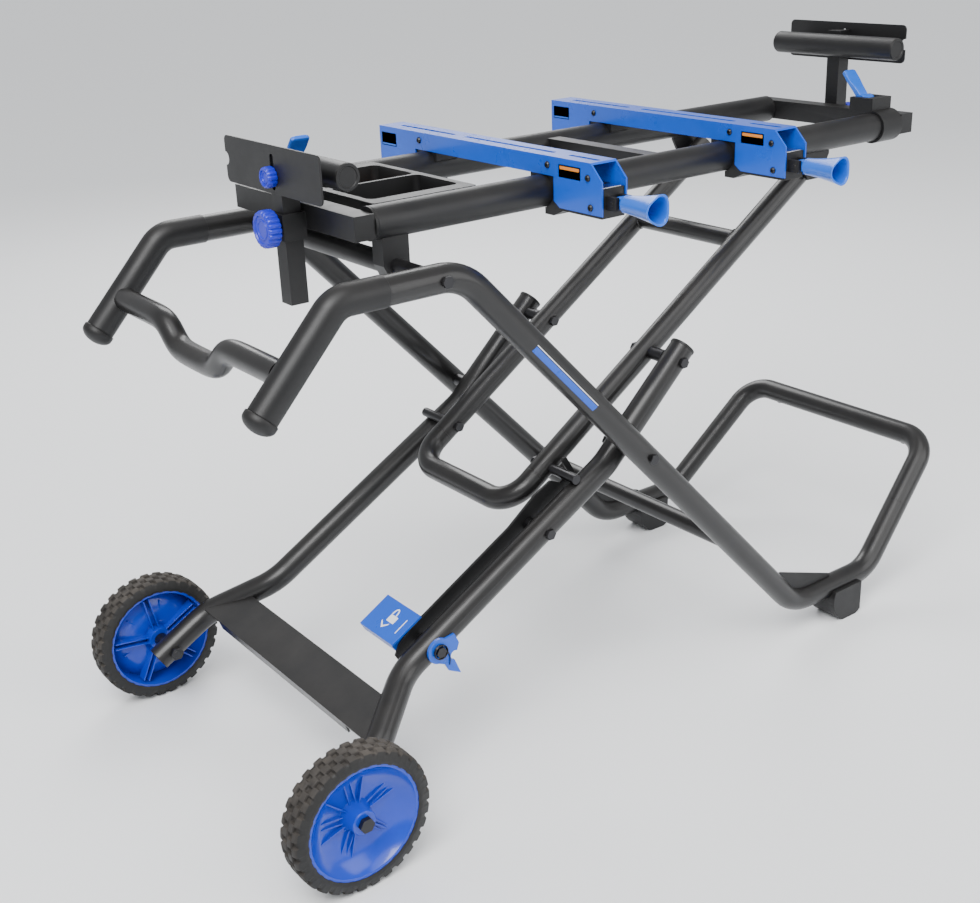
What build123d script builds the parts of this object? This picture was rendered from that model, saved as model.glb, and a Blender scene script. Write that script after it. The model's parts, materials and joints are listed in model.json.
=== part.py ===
from build123d import *

import os
from math import atan2, cos, degrees, hypot, radians, sin

os.makedirs("parts", exist_ok=True)

# A folding, wheeled stand for a miter saw. Two round rails carry the saw brackets, and an
# extension wing slides out of each rail. X runs along the rails, Y across the stand, Z up.
# The side view is drawn with X measured from a datum near the right-hand saw bracket.

# ---- Driving dimensions, in millimetres ----
tube_radius = 19.05  # 1.5 in tube of the main frame and the wheel legs
tube_wall = 2.0
handle_radius = 20.3
lift_radius = 17.5
crossbar_radius = 14.3
handle_bar_radius = 16.5
rail_radius = 22.225
rail_wall = 1.8

# Distance from the side view's datum to the part's origin, which is under the middle of its box
centre_x = -204.2085
centre_y = -6.1

main_half_width = 239.0
wheel_leg_half_width = 182.0
wheel_plane_half_width = 249.0
lift_half_width = 118.0
rail_half_width = 137.2
toe_half_width = 210.0

# Side view of the main frame
grip_end = (-851.0, 636.0)
grip_bend = (-742.6, 752.0)
handle_seam_x = -677.0
top_bend = (-562.2, 752.0)
foot_bend = (92.2, 60.0)
toe_bend = (281.0, 60.0)
toe_corner = (477.0, 243.0)
main_bend_radius = 78.0
toe_corner_radius = 52.0
crossbar_x = -62.0
handle_bar_z = 676.0
handle_bar_dip = 34.0

# Wheels and the wheel legs
tyre_radius = 101.6  # 8 in wheel
tyre_width = 45.0
rim_radius = 82.9
hub_width = 41.0
wheel_half_track = 305.0
axle_radius = 6.0
axle_x = -811.0
leg_slope = 0.5589
leg_splay_x = -650.0
leg_outer_x = -742.0
leg_tail = 25.0
leg_bend_radius = 85.0

# Lift frame and top frame
lift_slope = 0.6644
lift_pivot = (205.0, 757.7)
lift_foot_x = -408.0
lift_corner_radius = 46.0
lift_crossbar_x = 66.0
knee_x = -138.0  # where the wheel legs meet the lift frame
knee_kink_x = -277.6
top_pivot = (-597.0, 752.0)
rail_z = 809.0
rail_length = 1023.0
rail_middle_x = -113.5
rail_cap = 4.0

# Saw brackets
beam_width = 44.5
beam_half_length = 261.0
beam_top_z = 858.0
beam_sheet = 2.5
beam_shallow_z = 832.0
beam_far_z = 797.0
beam_near_z = 791.0
beam_left_x = -327.5
beam_right_x = 22.0

# Extension wings
arm_length = 600.0
wing_bar_width = 30.0
wing_bar_height = 32.0
wing_bar_reach = 152.0
post_width = 26.0
sleeve_wall = 3.7
post_length = 196.0
post_offset_y = 20.0
post_bottom_z = 694.0
right_post_lift = 57.0
support_radius = 18.0
support_length = 250.0
support_z = 868.0
stop_width = 248.0
stop_height = 62.0
stop_offset_y = 16.0
stop_sheet = 2.5

# The bracket that carries the top frame's pivot
bracket_outer = 150.0
bracket_inner = 125.0
pivot_bolt_end = 115.0

# Fasteners and fits
bolt_radius = 5.0
head_radius = 8.5
head_height = 5.5
peg_radius = 7.5
latch_sheet = 4.0
running_gap = 0.05  # radial clearance of a bolt in its bore
slide_gap = 0.3  # clearance between pieces that slide past each other

near_far = (("near", -1), ("far", 1))

# ---- Worked-out places in the side view ----


def on_line(start, slope, x):
    """Height of a straight tube at x, from one point of its axis and its slope."""
    return start[1] + slope * (x - start[0])


main_slope = (foot_bend[1] - top_bend[1]) / (foot_bend[0] - top_bend[0])
knee = (knee_x, on_line(lift_pivot, lift_slope, knee_x))
lift_foot = (lift_foot_x, on_line(lift_pivot, lift_slope, lift_foot_x))
axle = (axle_x, tyre_radius)
leg_kink = (knee_kink_x, on_line(axle, leg_slope, knee_kink_x))
knee_slope = (knee[1] - leg_kink[1]) / (knee[0] - leg_kink[0])
frame_pivot_x = (knee[1] - knee_slope * knee[0] - top_bend[1] + main_slope * top_bend[0]) / (
    main_slope - knee_slope
)
frame_pivot = (frame_pivot_x, on_line(top_bend, main_slope, frame_pivot_x))
grip_slope = (grip_bend[1] - grip_end[1]) / (grip_bend[0] - grip_end[0])
handle_bar_x = grip_end[0] + (handle_bar_z - grip_end[1]) / grip_slope
crossbar = (crossbar_x, on_line(top_bend, main_slope, crossbar_x))
leg_angle = degrees(atan2(leg_slope, 1.0))
lift_angle = degrees(atan2(lift_slope, 1.0))
main_angle = degrees(atan2(main_slope, 1.0))

# The rest pegs lie across the tops of the wheel legs, a running gap above them.
peg_drop = (tube_radius + peg_radius + slide_gap) / cos(radians(leg_angle))
peg_x = (peg_drop - on_line(lift_pivot, lift_slope, 0) + on_line(axle, leg_slope, 0)) / (
    lift_slope - leg_slope
)
rest_peg = (peg_x, on_line(lift_pivot, lift_slope, peg_x))

rail_end = rail_length / 2
wing_bar_start = rail_end + rail_cap + slide_gap
sleeve_width = post_width + 2 * slide_gap + 2 * sleeve_wall
post_centre = wing_bar_start + wing_bar_width + sleeve_width / 2

leg_inner_face = wheel_leg_half_width - tube_radius
leg_outer_face = wheel_leg_half_width + tube_radius
main_inner_face = main_half_width - tube_radius
main_outer_face = main_half_width + tube_radius
lift_outer_face = lift_half_width + lift_radius
lift_inner_face = lift_half_width - lift_radius


def at(x, y, z):
    """A point of the stand, moved from the side view's datum to the part's origin."""
    return Vector(x - centre_x, y - centre_y, z)


def side_plane(y):
    """A plane across the stand's side: its X is the stand's X and its Y is up."""
    return Plane(origin=at(0, y, 0), x_dir=(1, 0, 0), z_dir=(0, -1, 0))


def end_plane(x, facing=1):
    """A plane that looks along the rails: its Y is up."""
    return Plane(origin=at(x, 0, 0), x_dir=(0, facing, 0), z_dir=(facing, 0, 0))


def floor_plane(z):
    """A level plane at height z."""
    return Plane(origin=at(0, 0, z))


def bent_tube(points, bend_radius, radius, wall=None, mode=Mode.ADD):
    """A round tube along straight runs that bends join, or the solid space it takes up."""
    with BuildLine() as route:
        FilletPolyline(*[at(*point) for point in points], radius=bend_radius)
    axis = route.wire()
    with BuildSketch(Plane(origin=axis @ 0, z_dir=axis % 0)) as ring:
        Circle(radius)
        if wall:
            Circle(radius - wall, mode=Mode.SUBTRACT)
    sweep(sections=ring.sketch, path=axis, mode=mode)


def round_run(start, end, radius, wall=None, mode=Mode.ADD):
    """A straight round bar, or a tube where a wall is given."""
    first = at(*start)
    run = at(*end) - first
    with BuildSketch(Plane(origin=first, z_dir=run)) as section:
        Circle(radius)
        if wall:
            Circle(radius - wall, mode=Mode.SUBTRACT)
    extrude(to_extrude=section.sketch, amount=run.length, mode=mode)


def across(place, y_from, y_to, radius, mode=Mode.ADD):
    """A round bar, or its bore, across the stand at a place in the side view."""
    round_run((place[0], y_from, place[1]), (place[0], y_to, place[1]), radius, mode=mode)


def hex_across(place, y_from, y_to, radius):
    """A hexagon head or nut across the stand."""
    with BuildSketch(side_plane(y_from)) as hexagon:
        with Locations((place[0], place[1])):
            RegularPolygon(radius, 6)
    extrude(to_extrude=hexagon.sketch, amount=y_from - y_to)


def block(x_range, y_range, z_range, mode=Mode.ADD):
    """A square-edged block between its lowest and highest corners."""
    with BuildSketch(floor_plane(z_range[0])) as base:
        with Locations(((x_range[0] + x_range[1]) / 2, (y_range[0] + y_range[1]) / 2)):
            Rectangle(x_range[1] - x_range[0], y_range[1] - y_range[0])
    extrude(to_extrude=base.sketch, amount=z_range[1] - z_range[0], mode=mode)


def side_plate(points, y_from, y_to, mode=Mode.ADD):
    """A flat plate cut to an outline in the side view."""
    with BuildSketch(side_plane(y_from)) as outline:
        Polygon(*points, align=None)
    extrude(to_extrude=outline.sketch, amount=y_from - y_to, mode=mode)


def cut_main_tube(sign):
    """Cope a piece round the main frame's slanted tube."""
    round_run(
        (top_bend[0], sign * main_half_width, top_bend[1]),
        (foot_bend[0], sign * main_half_width, foot_bend[1]),
        tube_radius,
        mode=Mode.SUBTRACT,
    )


# ---- Main frame: one bent tube each side, joined by the toe bar and the handle ----
toe_split = 0.5
split_x = toe_bend[0] + toe_split * (toe_corner[0] - toe_bend[0])
split_z = toe_bend[1] + toe_split * (toe_corner[1] - toe_bend[1])
split_half_width = main_half_width + toe_split * (toe_half_width - main_half_width)

for side, sign in near_far:
    outer_y = sign * main_half_width
    with BuildPart() as main_tube:
        bent_tube(
            [
                (handle_seam_x, outer_y, top_bend[1]),
                (top_bend[0], outer_y, top_bend[1]),
                (foot_bend[0], outer_y, foot_bend[1]),
                (toe_bend[0], outer_y, toe_bend[1]),
                (split_x, sign * split_half_width, split_z),
            ],
            main_bend_radius,
            tube_radius,
            tube_wall,
        )
        for pivot in (frame_pivot, top_pivot):
            across(pivot, outer_y - 30, outer_y + 30, bolt_radius + running_gap, Mode.SUBTRACT)
    main_tube.part.label = f"main_tube_{side}"
    export_step(main_tube.part, f"parts/main_tube_{side}.step")

    with BuildPart() as handle:
        bent_tube(
            [
                (grip_end[0], outer_y, grip_end[1]),
                (grip_bend[0], outer_y, grip_bend[1]),
                (handle_seam_x, outer_y, grip_bend[1]),
            ],
            main_bend_radius / 2,
            handle_radius,
            tube_wall + 1,
        )
    handle.part.label = f"handle_grip_{side}"
    export_step(handle.part, f"parts/handle_grip_{side}.step")

with BuildPart() as toe_bar:
    bent_tube(
        [
            (split_x, -split_half_width, split_z),
            (toe_corner[0], -toe_half_width, toe_corner[1]),
            (toe_corner[0], toe_half_width, toe_corner[1]),
            (split_x, split_half_width, split_z),
        ],
        toe_corner_radius,
        tube_radius,
        tube_wall,
    )
toe_bar.part.label = "toe_bar"
export_step(toe_bar.part, "parts/toe_bar.step")

with BuildPart() as frame_crossbar:
    reach = main_inner_face + 6
    round_run(
        (crossbar[0], -reach, crossbar[1]),
        (crossbar[0], reach, crossbar[1]),
        crossbar_radius,
        tube_wall,
    )
    for _, sign in near_far:
        cut_main_tube(sign)
frame_crossbar.part.label = "frame_crossbar"
export_step(frame_crossbar.part, "parts/frame_crossbar.step")

dip_half_width = 42.0
with BuildPart() as handle_bar:
    reach = main_half_width - handle_radius + 5
    low_z = handle_bar_z - handle_bar_dip
    bent_tube(
        [
            (handle_bar_x, -reach, handle_bar_z),
            (handle_bar_x, -2.4 * dip_half_width, handle_bar_z),
            (handle_bar_x, -dip_half_width, low_z),
            (handle_bar_x, dip_half_width, low_z),
            (handle_bar_x, 2.4 * dip_half_width, handle_bar_z),
            (handle_bar_x, reach, handle_bar_z),
        ],
        1.9 * handle_bar_radius,
        handle_bar_radius,
        tube_wall,
    )
    for _, sign in near_far:
        outer_y = sign * main_half_width
        round_run(
            (grip_end[0], outer_y, grip_end[1]),
            (grip_bend[0], outer_y, grip_bend[1]),
            handle_radius,
            mode=Mode.SUBTRACT,
        )
handle_bar.part.label = "handle_bar"
export_step(handle_bar.part, "parts/handle_bar.step")

cap_length = 20.0
cap_radius = handle_radius + 2.2
with BuildPart() as handle_caps:
    for _, sign in near_far:
        mouth = at(grip_end[0], sign * main_half_width, grip_end[1])
        outward = at(grip_end[0], 0, grip_end[1]) - at(grip_bend[0], 0, grip_bend[1])
        with BuildSketch(Plane(origin=mouth, z_dir=outward)) as rim:
            Circle(cap_radius)
        extrude(amount=cap_length)
    fillet(handle_caps.faces().filter_by(GeomType.PLANE).sort_by(Axis.Z)[:2].edges(), 12)
handle_caps.part.label = "handle_caps"
export_step(handle_caps.part, "parts/handle_caps.step")

# Each foot is a half-round rocker that saddles the level run of the tube.
foot_x = 214.0
foot_radius = 44.0
foot_flat = 3.0
foot_width = 54.0
with BuildPart() as feet:
    for _, sign in near_far:
        outer_y = sign * main_half_width
        with BuildSketch(side_plane(outer_y + foot_width / 2)) as rocker:
            with Locations((foot_x, foot_radius - foot_flat)):
                Circle(foot_radius)
            with Locations((foot_x, -foot_radius)):
                Rectangle(4 * foot_radius, 2 * foot_radius, mode=Mode.SUBTRACT)
            with Locations((foot_x, foot_bend[1] + foot_radius)):
                Rectangle(4 * foot_radius, 2 * foot_radius, mode=Mode.SUBTRACT)
            with Locations((foot_x + 28 + foot_radius, foot_radius)):
                Rectangle(2 * foot_radius, 4 * foot_radius, mode=Mode.SUBTRACT)
        extrude(amount=foot_width)
        round_run(
            (foot_bend[0], outer_y, foot_bend[1]),
            (toe_bend[0] + 40, outer_y, toe_bend[1]),
            tube_radius,
            mode=Mode.SUBTRACT,
        )
feet.part.label = "feet"
export_step(feet.part, "parts/feet.step")

bumper_radius = 11.0
bumper_height = 9.0
bumper_y = 150.0
toe_angle = atan2(toe_corner[1] - toe_bend[1], toe_corner[0] - toe_bend[0])
toe_down = (sin(toe_angle), -cos(toe_angle))


def toe_point(y, distance):
    """A point below the toe bar, square to the plane of the loop."""
    return (toe_corner[0] + toe_down[0] * distance, y, toe_corner[1] + toe_down[1] * distance)


with BuildPart() as toe_bumpers:
    for _, sign in near_far:
        y = sign * bumper_y
        round_run(toe_point(y, 10), toe_point(y, tube_radius + bumper_height), bumper_radius)
        round_run(
            (toe_corner[0], -toe_half_width, toe_corner[1]),
            (toe_corner[0], toe_half_width, toe_corner[1]),
            tube_radius,
            mode=Mode.SUBTRACT,
        )
toe_bumpers.part.label = "toe_bumpers"
export_step(toe_bumpers.part, "parts/toe_bumpers.step")

# Braces that stiffen the bend above each foot
brace_sheet = 4.0
with BuildPart() as foot_braces:
    for _, sign in near_far:
        outer_y = sign * main_half_width
        side_plate(
            [(40, 128), (60, 128), (185, 84), (185, 70), (120, 70), (48, 106)],
            outer_y + brace_sheet / 2,
            outer_y - brace_sheet / 2,
        )
        bent_tube(
            [
                (top_bend[0], outer_y, top_bend[1]),
                (foot_bend[0], outer_y, foot_bend[1]),
                (toe_bend[0], outer_y, toe_bend[1]),
            ],
            main_bend_radius,
            tube_radius,
            mode=Mode.SUBTRACT,
        )
foot_braces.part.label = "foot_braces"
export_step(foot_braces.part, "parts/foot_braces.step")

# Pivot bolts that the main frame carries, with the spacers between the frames
spacer_radius = 10.0
nut_height = 6.0
with BuildPart() as frame_bolts:
    for _, sign in near_far:
        head_at = sign * main_outer_face
        nut_at = sign * (leg_inner_face - slide_gap)
        across(frame_pivot, sign * (leg_inner_face - nut_height - 2), head_at, bolt_radius)
        hex_across(frame_pivot, head_at, head_at + sign * head_height, head_radius)
        hex_across(frame_pivot, nut_at - sign * nut_height, nut_at, head_radius)
        across(frame_pivot, sign * (leg_outer_face + slide_gap), sign * main_inner_face, spacer_radius)
        across(top_pivot, sign * pivot_bolt_end, head_at, bolt_radius)
        across(top_pivot, sign * (bracket_outer + slide_gap), sign * main_inner_face, spacer_radius)
        hex_across(top_pivot, head_at, head_at + sign * head_height, head_radius)
frame_bolts.part.label = "frame_bolts"
export_step(frame_bolts.part, "parts/frame_bolts.step")

# ---- Wheel legs: tubes that splay out to the wheels ----
latch_pivot = (-400.0, on_line(axle, leg_slope, -400.0))
hook_pivot = (-603.0, on_line(axle, leg_slope, -603.0))

knee_end_x = knee_x + 16.0
tail_x = axle_x - leg_tail * cos(radians(leg_angle))


def leg_path(sign):
    """Corners of a wheel leg's axis, from the knee down to the wheel."""
    leg_y = sign * wheel_leg_half_width
    tail_y = sign * wheel_plane_half_width
    return [
        (knee_end_x, leg_y, on_line(knee, knee_slope, knee_end_x)),
        (leg_kink[0], leg_y, leg_kink[1]),
        (leg_splay_x, leg_y, on_line(axle, leg_slope, leg_splay_x)),
        (leg_outer_x, tail_y, on_line(axle, leg_slope, leg_outer_x)),
        (tail_x, tail_y, on_line(axle, leg_slope, tail_x)),
    ]


for side, sign in near_far:
    leg_y = sign * wheel_leg_half_width
    tail_y = sign * wheel_plane_half_width
    with BuildPart() as wheel_leg:
        bent_tube(leg_path(sign), leg_bend_radius, tube_radius, tube_wall)
        latch_holes = (latch_pivot, hook_pivot) if side == "near" else ()
        for pivot in (frame_pivot, knee, *latch_holes):
            across(pivot, leg_y - 30, leg_y + 30, bolt_radius + running_gap, Mode.SUBTRACT)
        across(axle, tail_y - 30, tail_y + 30, axle_radius + running_gap, Mode.SUBTRACT)
    wheel_leg.part.label = f"wheel_leg_{side}"
    export_step(wheel_leg.part, f"parts/wheel_leg_{side}.step")

with BuildPart() as leg_caps:
    for _, sign in near_far:
        leg_y = sign * wheel_leg_half_width
        cap_x = knee_end_x + 3
        round_run(
            (knee_end_x, leg_y, on_line(knee, knee_slope, knee_end_x)),
            (cap_x, leg_y, on_line(knee, knee_slope, cap_x)),
            tube_radius + 0.6,
        )
leg_caps.part.label = "leg_caps"
export_step(leg_caps.part, "parts/leg_caps.step")

# The step plate is welded between the splayed ends, a little above their axes.
plate_high = (-690.0, 175.5)
plate_low = (-752.0, 154.5)
plate_sheet = 3.0
plate_lip = 14.0


def splay_half_width(x):
    """Inner face of the splayed tubes at x."""
    share = (leg_splay_x - x) / (leg_splay_x - leg_outer_x)
    spread = wheel_plane_half_width - wheel_leg_half_width
    return wheel_leg_half_width + share * spread - tube_radius


with BuildPart() as step_plate:
    slope_run = at(plate_low[0], 0, plate_low[1]) - at(plate_high[0], 0, plate_high[1])
    top_face = Plane(
        origin=at(plate_high[0], 0, plate_high[1]),
        x_dir=slope_run,
        z_dir=(-slope_run.Z, 0, slope_run.X),
    )
    with BuildSketch(top_face):
        Polygon(
            (0, splay_half_width(plate_high[0]) + 5),
            (slope_run.length, splay_half_width(plate_low[0]) + 5),
            (slope_run.length, -splay_half_width(plate_low[0]) - 5),
            (0, -splay_half_width(plate_high[0]) - 5),
            align=None,
        )
    extrude(amount=plate_sheet)
    with BuildSketch(top_face):
        for lip_x in (plate_sheet / 2, slope_run.length - plate_sheet / 2):
            with Locations((lip_x, 0)):
                Rectangle(plate_sheet, 2 * splay_half_width(plate_high[0]) - 10)
    extrude(amount=plate_sheet + plate_lip)
    for _, sign in near_far:
        bent_tube(leg_path(sign), leg_bend_radius, tube_radius, mode=Mode.SUBTRACT)
step_plate.part.label = "step_plate"
export_step(step_plate.part, "parts/step_plate.step")

# Stub axles, each with its spacer, bolt head and nut
axle_head = 7.0
hub_inner_y = wheel_half_track - hub_width / 2
hub_outer_y = wheel_half_track + hub_width / 2
tail_outer_face = wheel_plane_half_width + tube_radius
tail_inner_face = wheel_plane_half_width - tube_radius
with BuildPart() as axle_set:
    for _, sign in near_far:
        head_at = sign * (hub_outer_y + slide_gap)
        across(axle, sign * (tail_inner_face - 9), head_at, axle_radius)
        hex_across(axle, head_at, head_at + sign * axle_head, 11)
        hex_across(axle, sign * (tail_inner_face - 8), sign * tail_inner_face, 11)
        across(axle, sign * tail_outer_face, sign * (hub_inner_y - slide_gap), 11)
axle_set.part.label = "axle_set"
export_step(axle_set.part, "parts/axle_set.step")

# Bolts that the wheel legs carry: the knee pins, the latch bolt and the hook bolt
latch_outer_y = -(leg_inner_face - 9.0)
latch_inner_y = latch_outer_y + latch_sheet
hook_sheet = 4.0
hook_inner_y = -(leg_outer_face + slide_gap)
hook_outer_y = hook_inner_y - hook_sheet
with BuildPart() as leg_bolts:
    for _, sign in near_far:
        head_at = sign * leg_outer_face
        across(knee, sign * (leg_inner_face + slide_gap), head_at, bolt_radius)
        hex_across(knee, head_at, head_at + sign * head_height, head_radius)
    across(latch_pivot, -leg_outer_face, latch_inner_y + slide_gap, bolt_radius)
    hex_across(latch_pivot, -leg_outer_face - head_height, -leg_outer_face, head_radius)
    across(latch_pivot, -leg_inner_face, latch_outer_y - slide_gap, spacer_radius)
    hex_across(latch_pivot, latch_inner_y + slide_gap, latch_inner_y + slide_gap + nut_height, head_radius)
    across(hook_pivot, hook_outer_y - slide_gap, -leg_inner_face, bolt_radius)
    hex_across(hook_pivot, hook_outer_y - slide_gap - head_height, hook_outer_y - slide_gap, head_radius)
    hex_across(hook_pivot, -leg_inner_face, -leg_inner_face + nut_height, head_radius)
leg_bolts.part.label = "leg_bolts"
export_step(leg_bolts.part, "parts/leg_bolts.step")

# ---- Wheels ----
lug_count = 24
hub_rib_count = 12
rim_sheet = 5.0
boss_radius = 17.0
groove_depth = 4.0

for side, sign in near_far:
    wheel_y = sign * wheel_half_track
    with BuildPart() as tyre:
        with BuildSketch(side_plane(wheel_y + tyre_width / 2)):
            with Locations(axle):
                Circle(tyre_radius)
                Circle(rim_radius, mode=Mode.SUBTRACT)
        extrude(amount=tyre_width)
        fillet(tyre.edges().filter_by(GeomType.CIRCLE).group_by(SortBy.RADIUS)[-1], 7)
        with BuildSketch(side_plane(wheel_y + 2)):
            with Locations(axle):
                Circle(tyre_radius + 1)
                Circle(tyre_radius - groove_depth, mode=Mode.SUBTRACT)
        extrude(amount=4, mode=Mode.SUBTRACT)
        for row, turn in ((-1, 0), (1, 180 / lug_count)):
            with BuildSketch(side_plane(wheel_y + row * 13.5 + 13.5)):
                with Locations(axle):
                    with PolarLocations(tyre_radius, lug_count, start_angle=turn):
                        Rectangle(2 * groove_depth, 5)
            extrude(amount=27, mode=Mode.SUBTRACT)
    tyre.part.label = f"tyre_{side}"
    export_step(tyre.part, f"parts/tyre_{side}.step")

    with BuildPart() as hub:
        with BuildSketch(side_plane(wheel_y + hub_width / 2)):
            with Locations(axle):
                Circle(rim_radius)
                Circle(rim_radius - rim_sheet, mode=Mode.SUBTRACT)
        extrude(amount=hub_width)
        with BuildSketch(side_plane(wheel_y + hub_width / 2)):
            with Locations(axle):
                Circle(boss_radius)
        extrude(amount=hub_width)
        with BuildSketch(side_plane(wheel_y + 3)):
            with Locations(axle):
                Circle(rim_radius - rim_sheet / 2)
        extrude(amount=6)
        with BuildSketch(side_plane(wheel_y + 14)):
            with Locations(axle):
                with PolarLocations((boss_radius + rim_radius - rim_sheet) / 2, hub_rib_count):
                    Rectangle(rim_radius - rim_sheet - boss_radius + 2, 4)
        extrude(amount=28)
        across(axle, wheel_y - hub_width, wheel_y + hub_width, axle_radius + running_gap, Mode.SUBTRACT)
    hub.part.label = f"hub_{side}"
    export_step(hub.part, f"parts/hub_{side}.step")

# ---- Lift frame: a U of tube that holds the rails up from the wheel legs ----
lift_end = (lift_pivot[0] + 20, on_line(lift_pivot, lift_slope, lift_pivot[0] + 20))
seam_x = lift_foot_x + (lift_corner_radius + 14) * cos(radians(lift_angle))
lift_seam = (seam_x, on_line(lift_pivot, lift_slope, seam_x))
lift_cross = (lift_crossbar_x, on_line(lift_pivot, lift_slope, lift_crossbar_x))
peg_shank = 4.0
peg_end = leg_outer_face - 9

for side, sign in near_far:
    leg_y = sign * lift_half_width
    with BuildPart() as lift_leg:
        round_run(
            (lift_seam[0], leg_y, lift_seam[1]),
            (lift_end[0], leg_y, lift_end[1]),
            lift_radius,
            tube_wall,
        )
        for place, radius in (
            (lift_pivot, bolt_radius + running_gap),
            (knee, bolt_radius + running_gap),
            (rest_peg, peg_shank),
        ):
            across(place, leg_y - 30, leg_y + 30, radius, Mode.SUBTRACT)
    lift_leg.part.label = f"lift_leg_{side}"
    export_step(lift_leg.part, f"parts/lift_leg_{side}.step")

with BuildPart() as lift_u_bar:
    bent_tube(
        [
            (lift_seam[0], -lift_half_width, lift_seam[1]),
            (lift_foot[0], -lift_half_width, lift_foot[1]),
            (lift_foot[0], lift_half_width, lift_foot[1]),
            (lift_seam[0], lift_half_width, lift_seam[1]),
        ],
        lift_corner_radius,
        lift_radius,
        tube_wall,
    )
lift_u_bar.part.label = "lift_u_bar"
export_step(lift_u_bar.part, "parts/lift_u_bar.step")

with BuildPart() as lift_crossbar:
    reach = lift_half_width - lift_radius + 5
    round_run(
        (lift_cross[0], -reach, lift_cross[1]),
        (lift_cross[0], reach, lift_cross[1]),
        crossbar_radius,
        tube_wall,
    )
    for _, sign in near_far:
        round_run(
            (lift_seam[0], sign * lift_half_width, lift_seam[1]),
            (lift_end[0], sign * lift_half_width, lift_end[1]),
            lift_radius,
            mode=Mode.SUBTRACT,
        )
lift_crossbar.part.label = "lift_crossbar"
export_step(lift_crossbar.part, "parts/lift_crossbar.step")

# The rest pegs and the knee collars, each held by a nut on the inside of its leg
with BuildPart() as lift_pins:
    for _, sign in near_far:
        across(rest_peg, sign * lift_outer_face, sign * peg_end, peg_radius)
        across(rest_peg, sign * (lift_inner_face - nut_height), sign * lift_outer_face, peg_shank)
        hex_across(rest_peg, sign * (lift_inner_face - nut_height), sign * lift_inner_face, head_radius)
        across(knee, sign * lift_outer_face, sign * (leg_inner_face - slide_gap), spacer_radius)
        across(knee, sign * (lift_inner_face - nut_height), sign * lift_outer_face, bolt_radius)
        hex_across(knee, sign * (lift_inner_face - nut_height), sign * lift_inner_face, head_radius)
lift_pins.part.label = "lift_pins"
export_step(lift_pins.part, "parts/lift_pins.step")

# ---- Top frame: the two rails and what is fixed to them ----
for side, sign in near_far:
    with BuildPart() as rail:
        round_run(
            (rail_middle_x - rail_end, sign * rail_half_width, rail_z),
            (rail_middle_x + rail_end, sign * rail_half_width, rail_z),
            rail_radius,
            rail_wall,
        )
    rail.part.label = f"rail_{side}"
    export_step(rail.part, f"parts/rail_{side}.step")


def cut_rails(clearance=0.0):
    """Cope a piece round both rails."""
    for _, sign in near_far:
        round_run(
            (rail_middle_x - rail_end, sign * rail_half_width, rail_z),
            (rail_middle_x + rail_end, sign * rail_half_width, rail_z),
            rail_radius + clearance,
            mode=Mode.SUBTRACT,
        )


with BuildPart() as mid_member:
    block((rail_middle_x - 12.5, rail_middle_x + 12.5), (-125, 125), (794, 824))
    block((rail_middle_x - 10.5, rail_middle_x + 10.5), (-125, 125), (796, 822), Mode.SUBTRACT)
    cut_rails()
mid_member.part.label = "mid_member"
export_step(mid_member.part, "parts/mid_member.step")

# Both wing clamps are split collars; the left one sits over the pivot bracket and the tray.
collar_length = 48.0
collar_sheet = 4.0
pivot_tube_radius = 14.0


def cut_left_collar():
    """Cope a piece round the collar at the left end of the far rail."""
    round_run(
        (rail_middle_x - rail_end, rail_half_width, rail_z),
        (rail_middle_x - rail_end + collar_length + 2, rail_half_width, rail_z),
        rail_radius + collar_sheet,
        mode=Mode.SUBTRACT,
    )


with BuildPart() as tilt_bracket:
    for _, sign in near_far:
        low_y, high_y = sorted((sign * bracket_inner, sign * bracket_outer))
        side_plate(
            [
                (top_pivot[0] - 20, rail_z),
                (top_pivot[0] - 20, top_pivot[1] + 2),
                (top_pivot[0] - 10, top_pivot[1] - 18),
                (top_pivot[0] + 10, top_pivot[1] - 18),
                (top_pivot[0] + 20, top_pivot[1] + 2),
                (top_pivot[0] + 20, rail_z),
            ],
            high_y,
            low_y,
        )
    across(top_pivot, -bracket_outer, bracket_outer, pivot_tube_radius)
    cut_rails()
    cut_left_collar()
    across(top_pivot, -bracket_outer, bracket_outer, bolt_radius + running_gap, Mode.SUBTRACT)
tilt_bracket.part.label = "tilt_bracket"
export_step(tilt_bracket.part, "parts/tilt_bracket.step")

bracket_sheet = 5.0
lift_bracket_inner = lift_outer_face + 3.5
with BuildPart() as lift_brackets:
    for _, sign in near_far:
        inner_y = sign * lift_bracket_inner
        outer_y = sign * (lift_bracket_inner + bracket_sheet)
        side_plate(
            [
                (lift_pivot[0] - 34, rail_z),
                (lift_pivot[0] - 34, 782),
                (lift_pivot[0] - 14, lift_pivot[1] - 12),
                (lift_pivot[0] + 14, lift_pivot[1] - 12),
                (lift_pivot[0] + 34, 782),
                (lift_pivot[0] + 34, rail_z),
            ],
            max(inner_y, outer_y),
            min(inner_y, outer_y),
        )
    cut_rails()
    across(lift_pivot, -200, 200, bolt_radius, Mode.SUBTRACT)
lift_brackets.part.label = "lift_brackets"
export_step(lift_brackets.part, "parts/lift_brackets.step")

with BuildPart() as top_bolts:
    for _, sign in near_far:
        head_at = sign * (lift_bracket_inner + bracket_sheet)
        nut_at = sign * (lift_inner_face - slide_gap)
        across(lift_pivot, nut_at - sign * nut_height, head_at, bolt_radius)
        hex_across(lift_pivot, head_at, head_at + sign * head_height, head_radius)
        hex_across(lift_pivot, nut_at - sign * nut_height, nut_at, head_radius)
        across(lift_pivot, sign * (lift_outer_face + slide_gap), sign * lift_bracket_inner, 8)
top_bolts.part.label = "top_bolts"
export_step(top_bolts.part, "parts/top_bolts.step")

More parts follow.
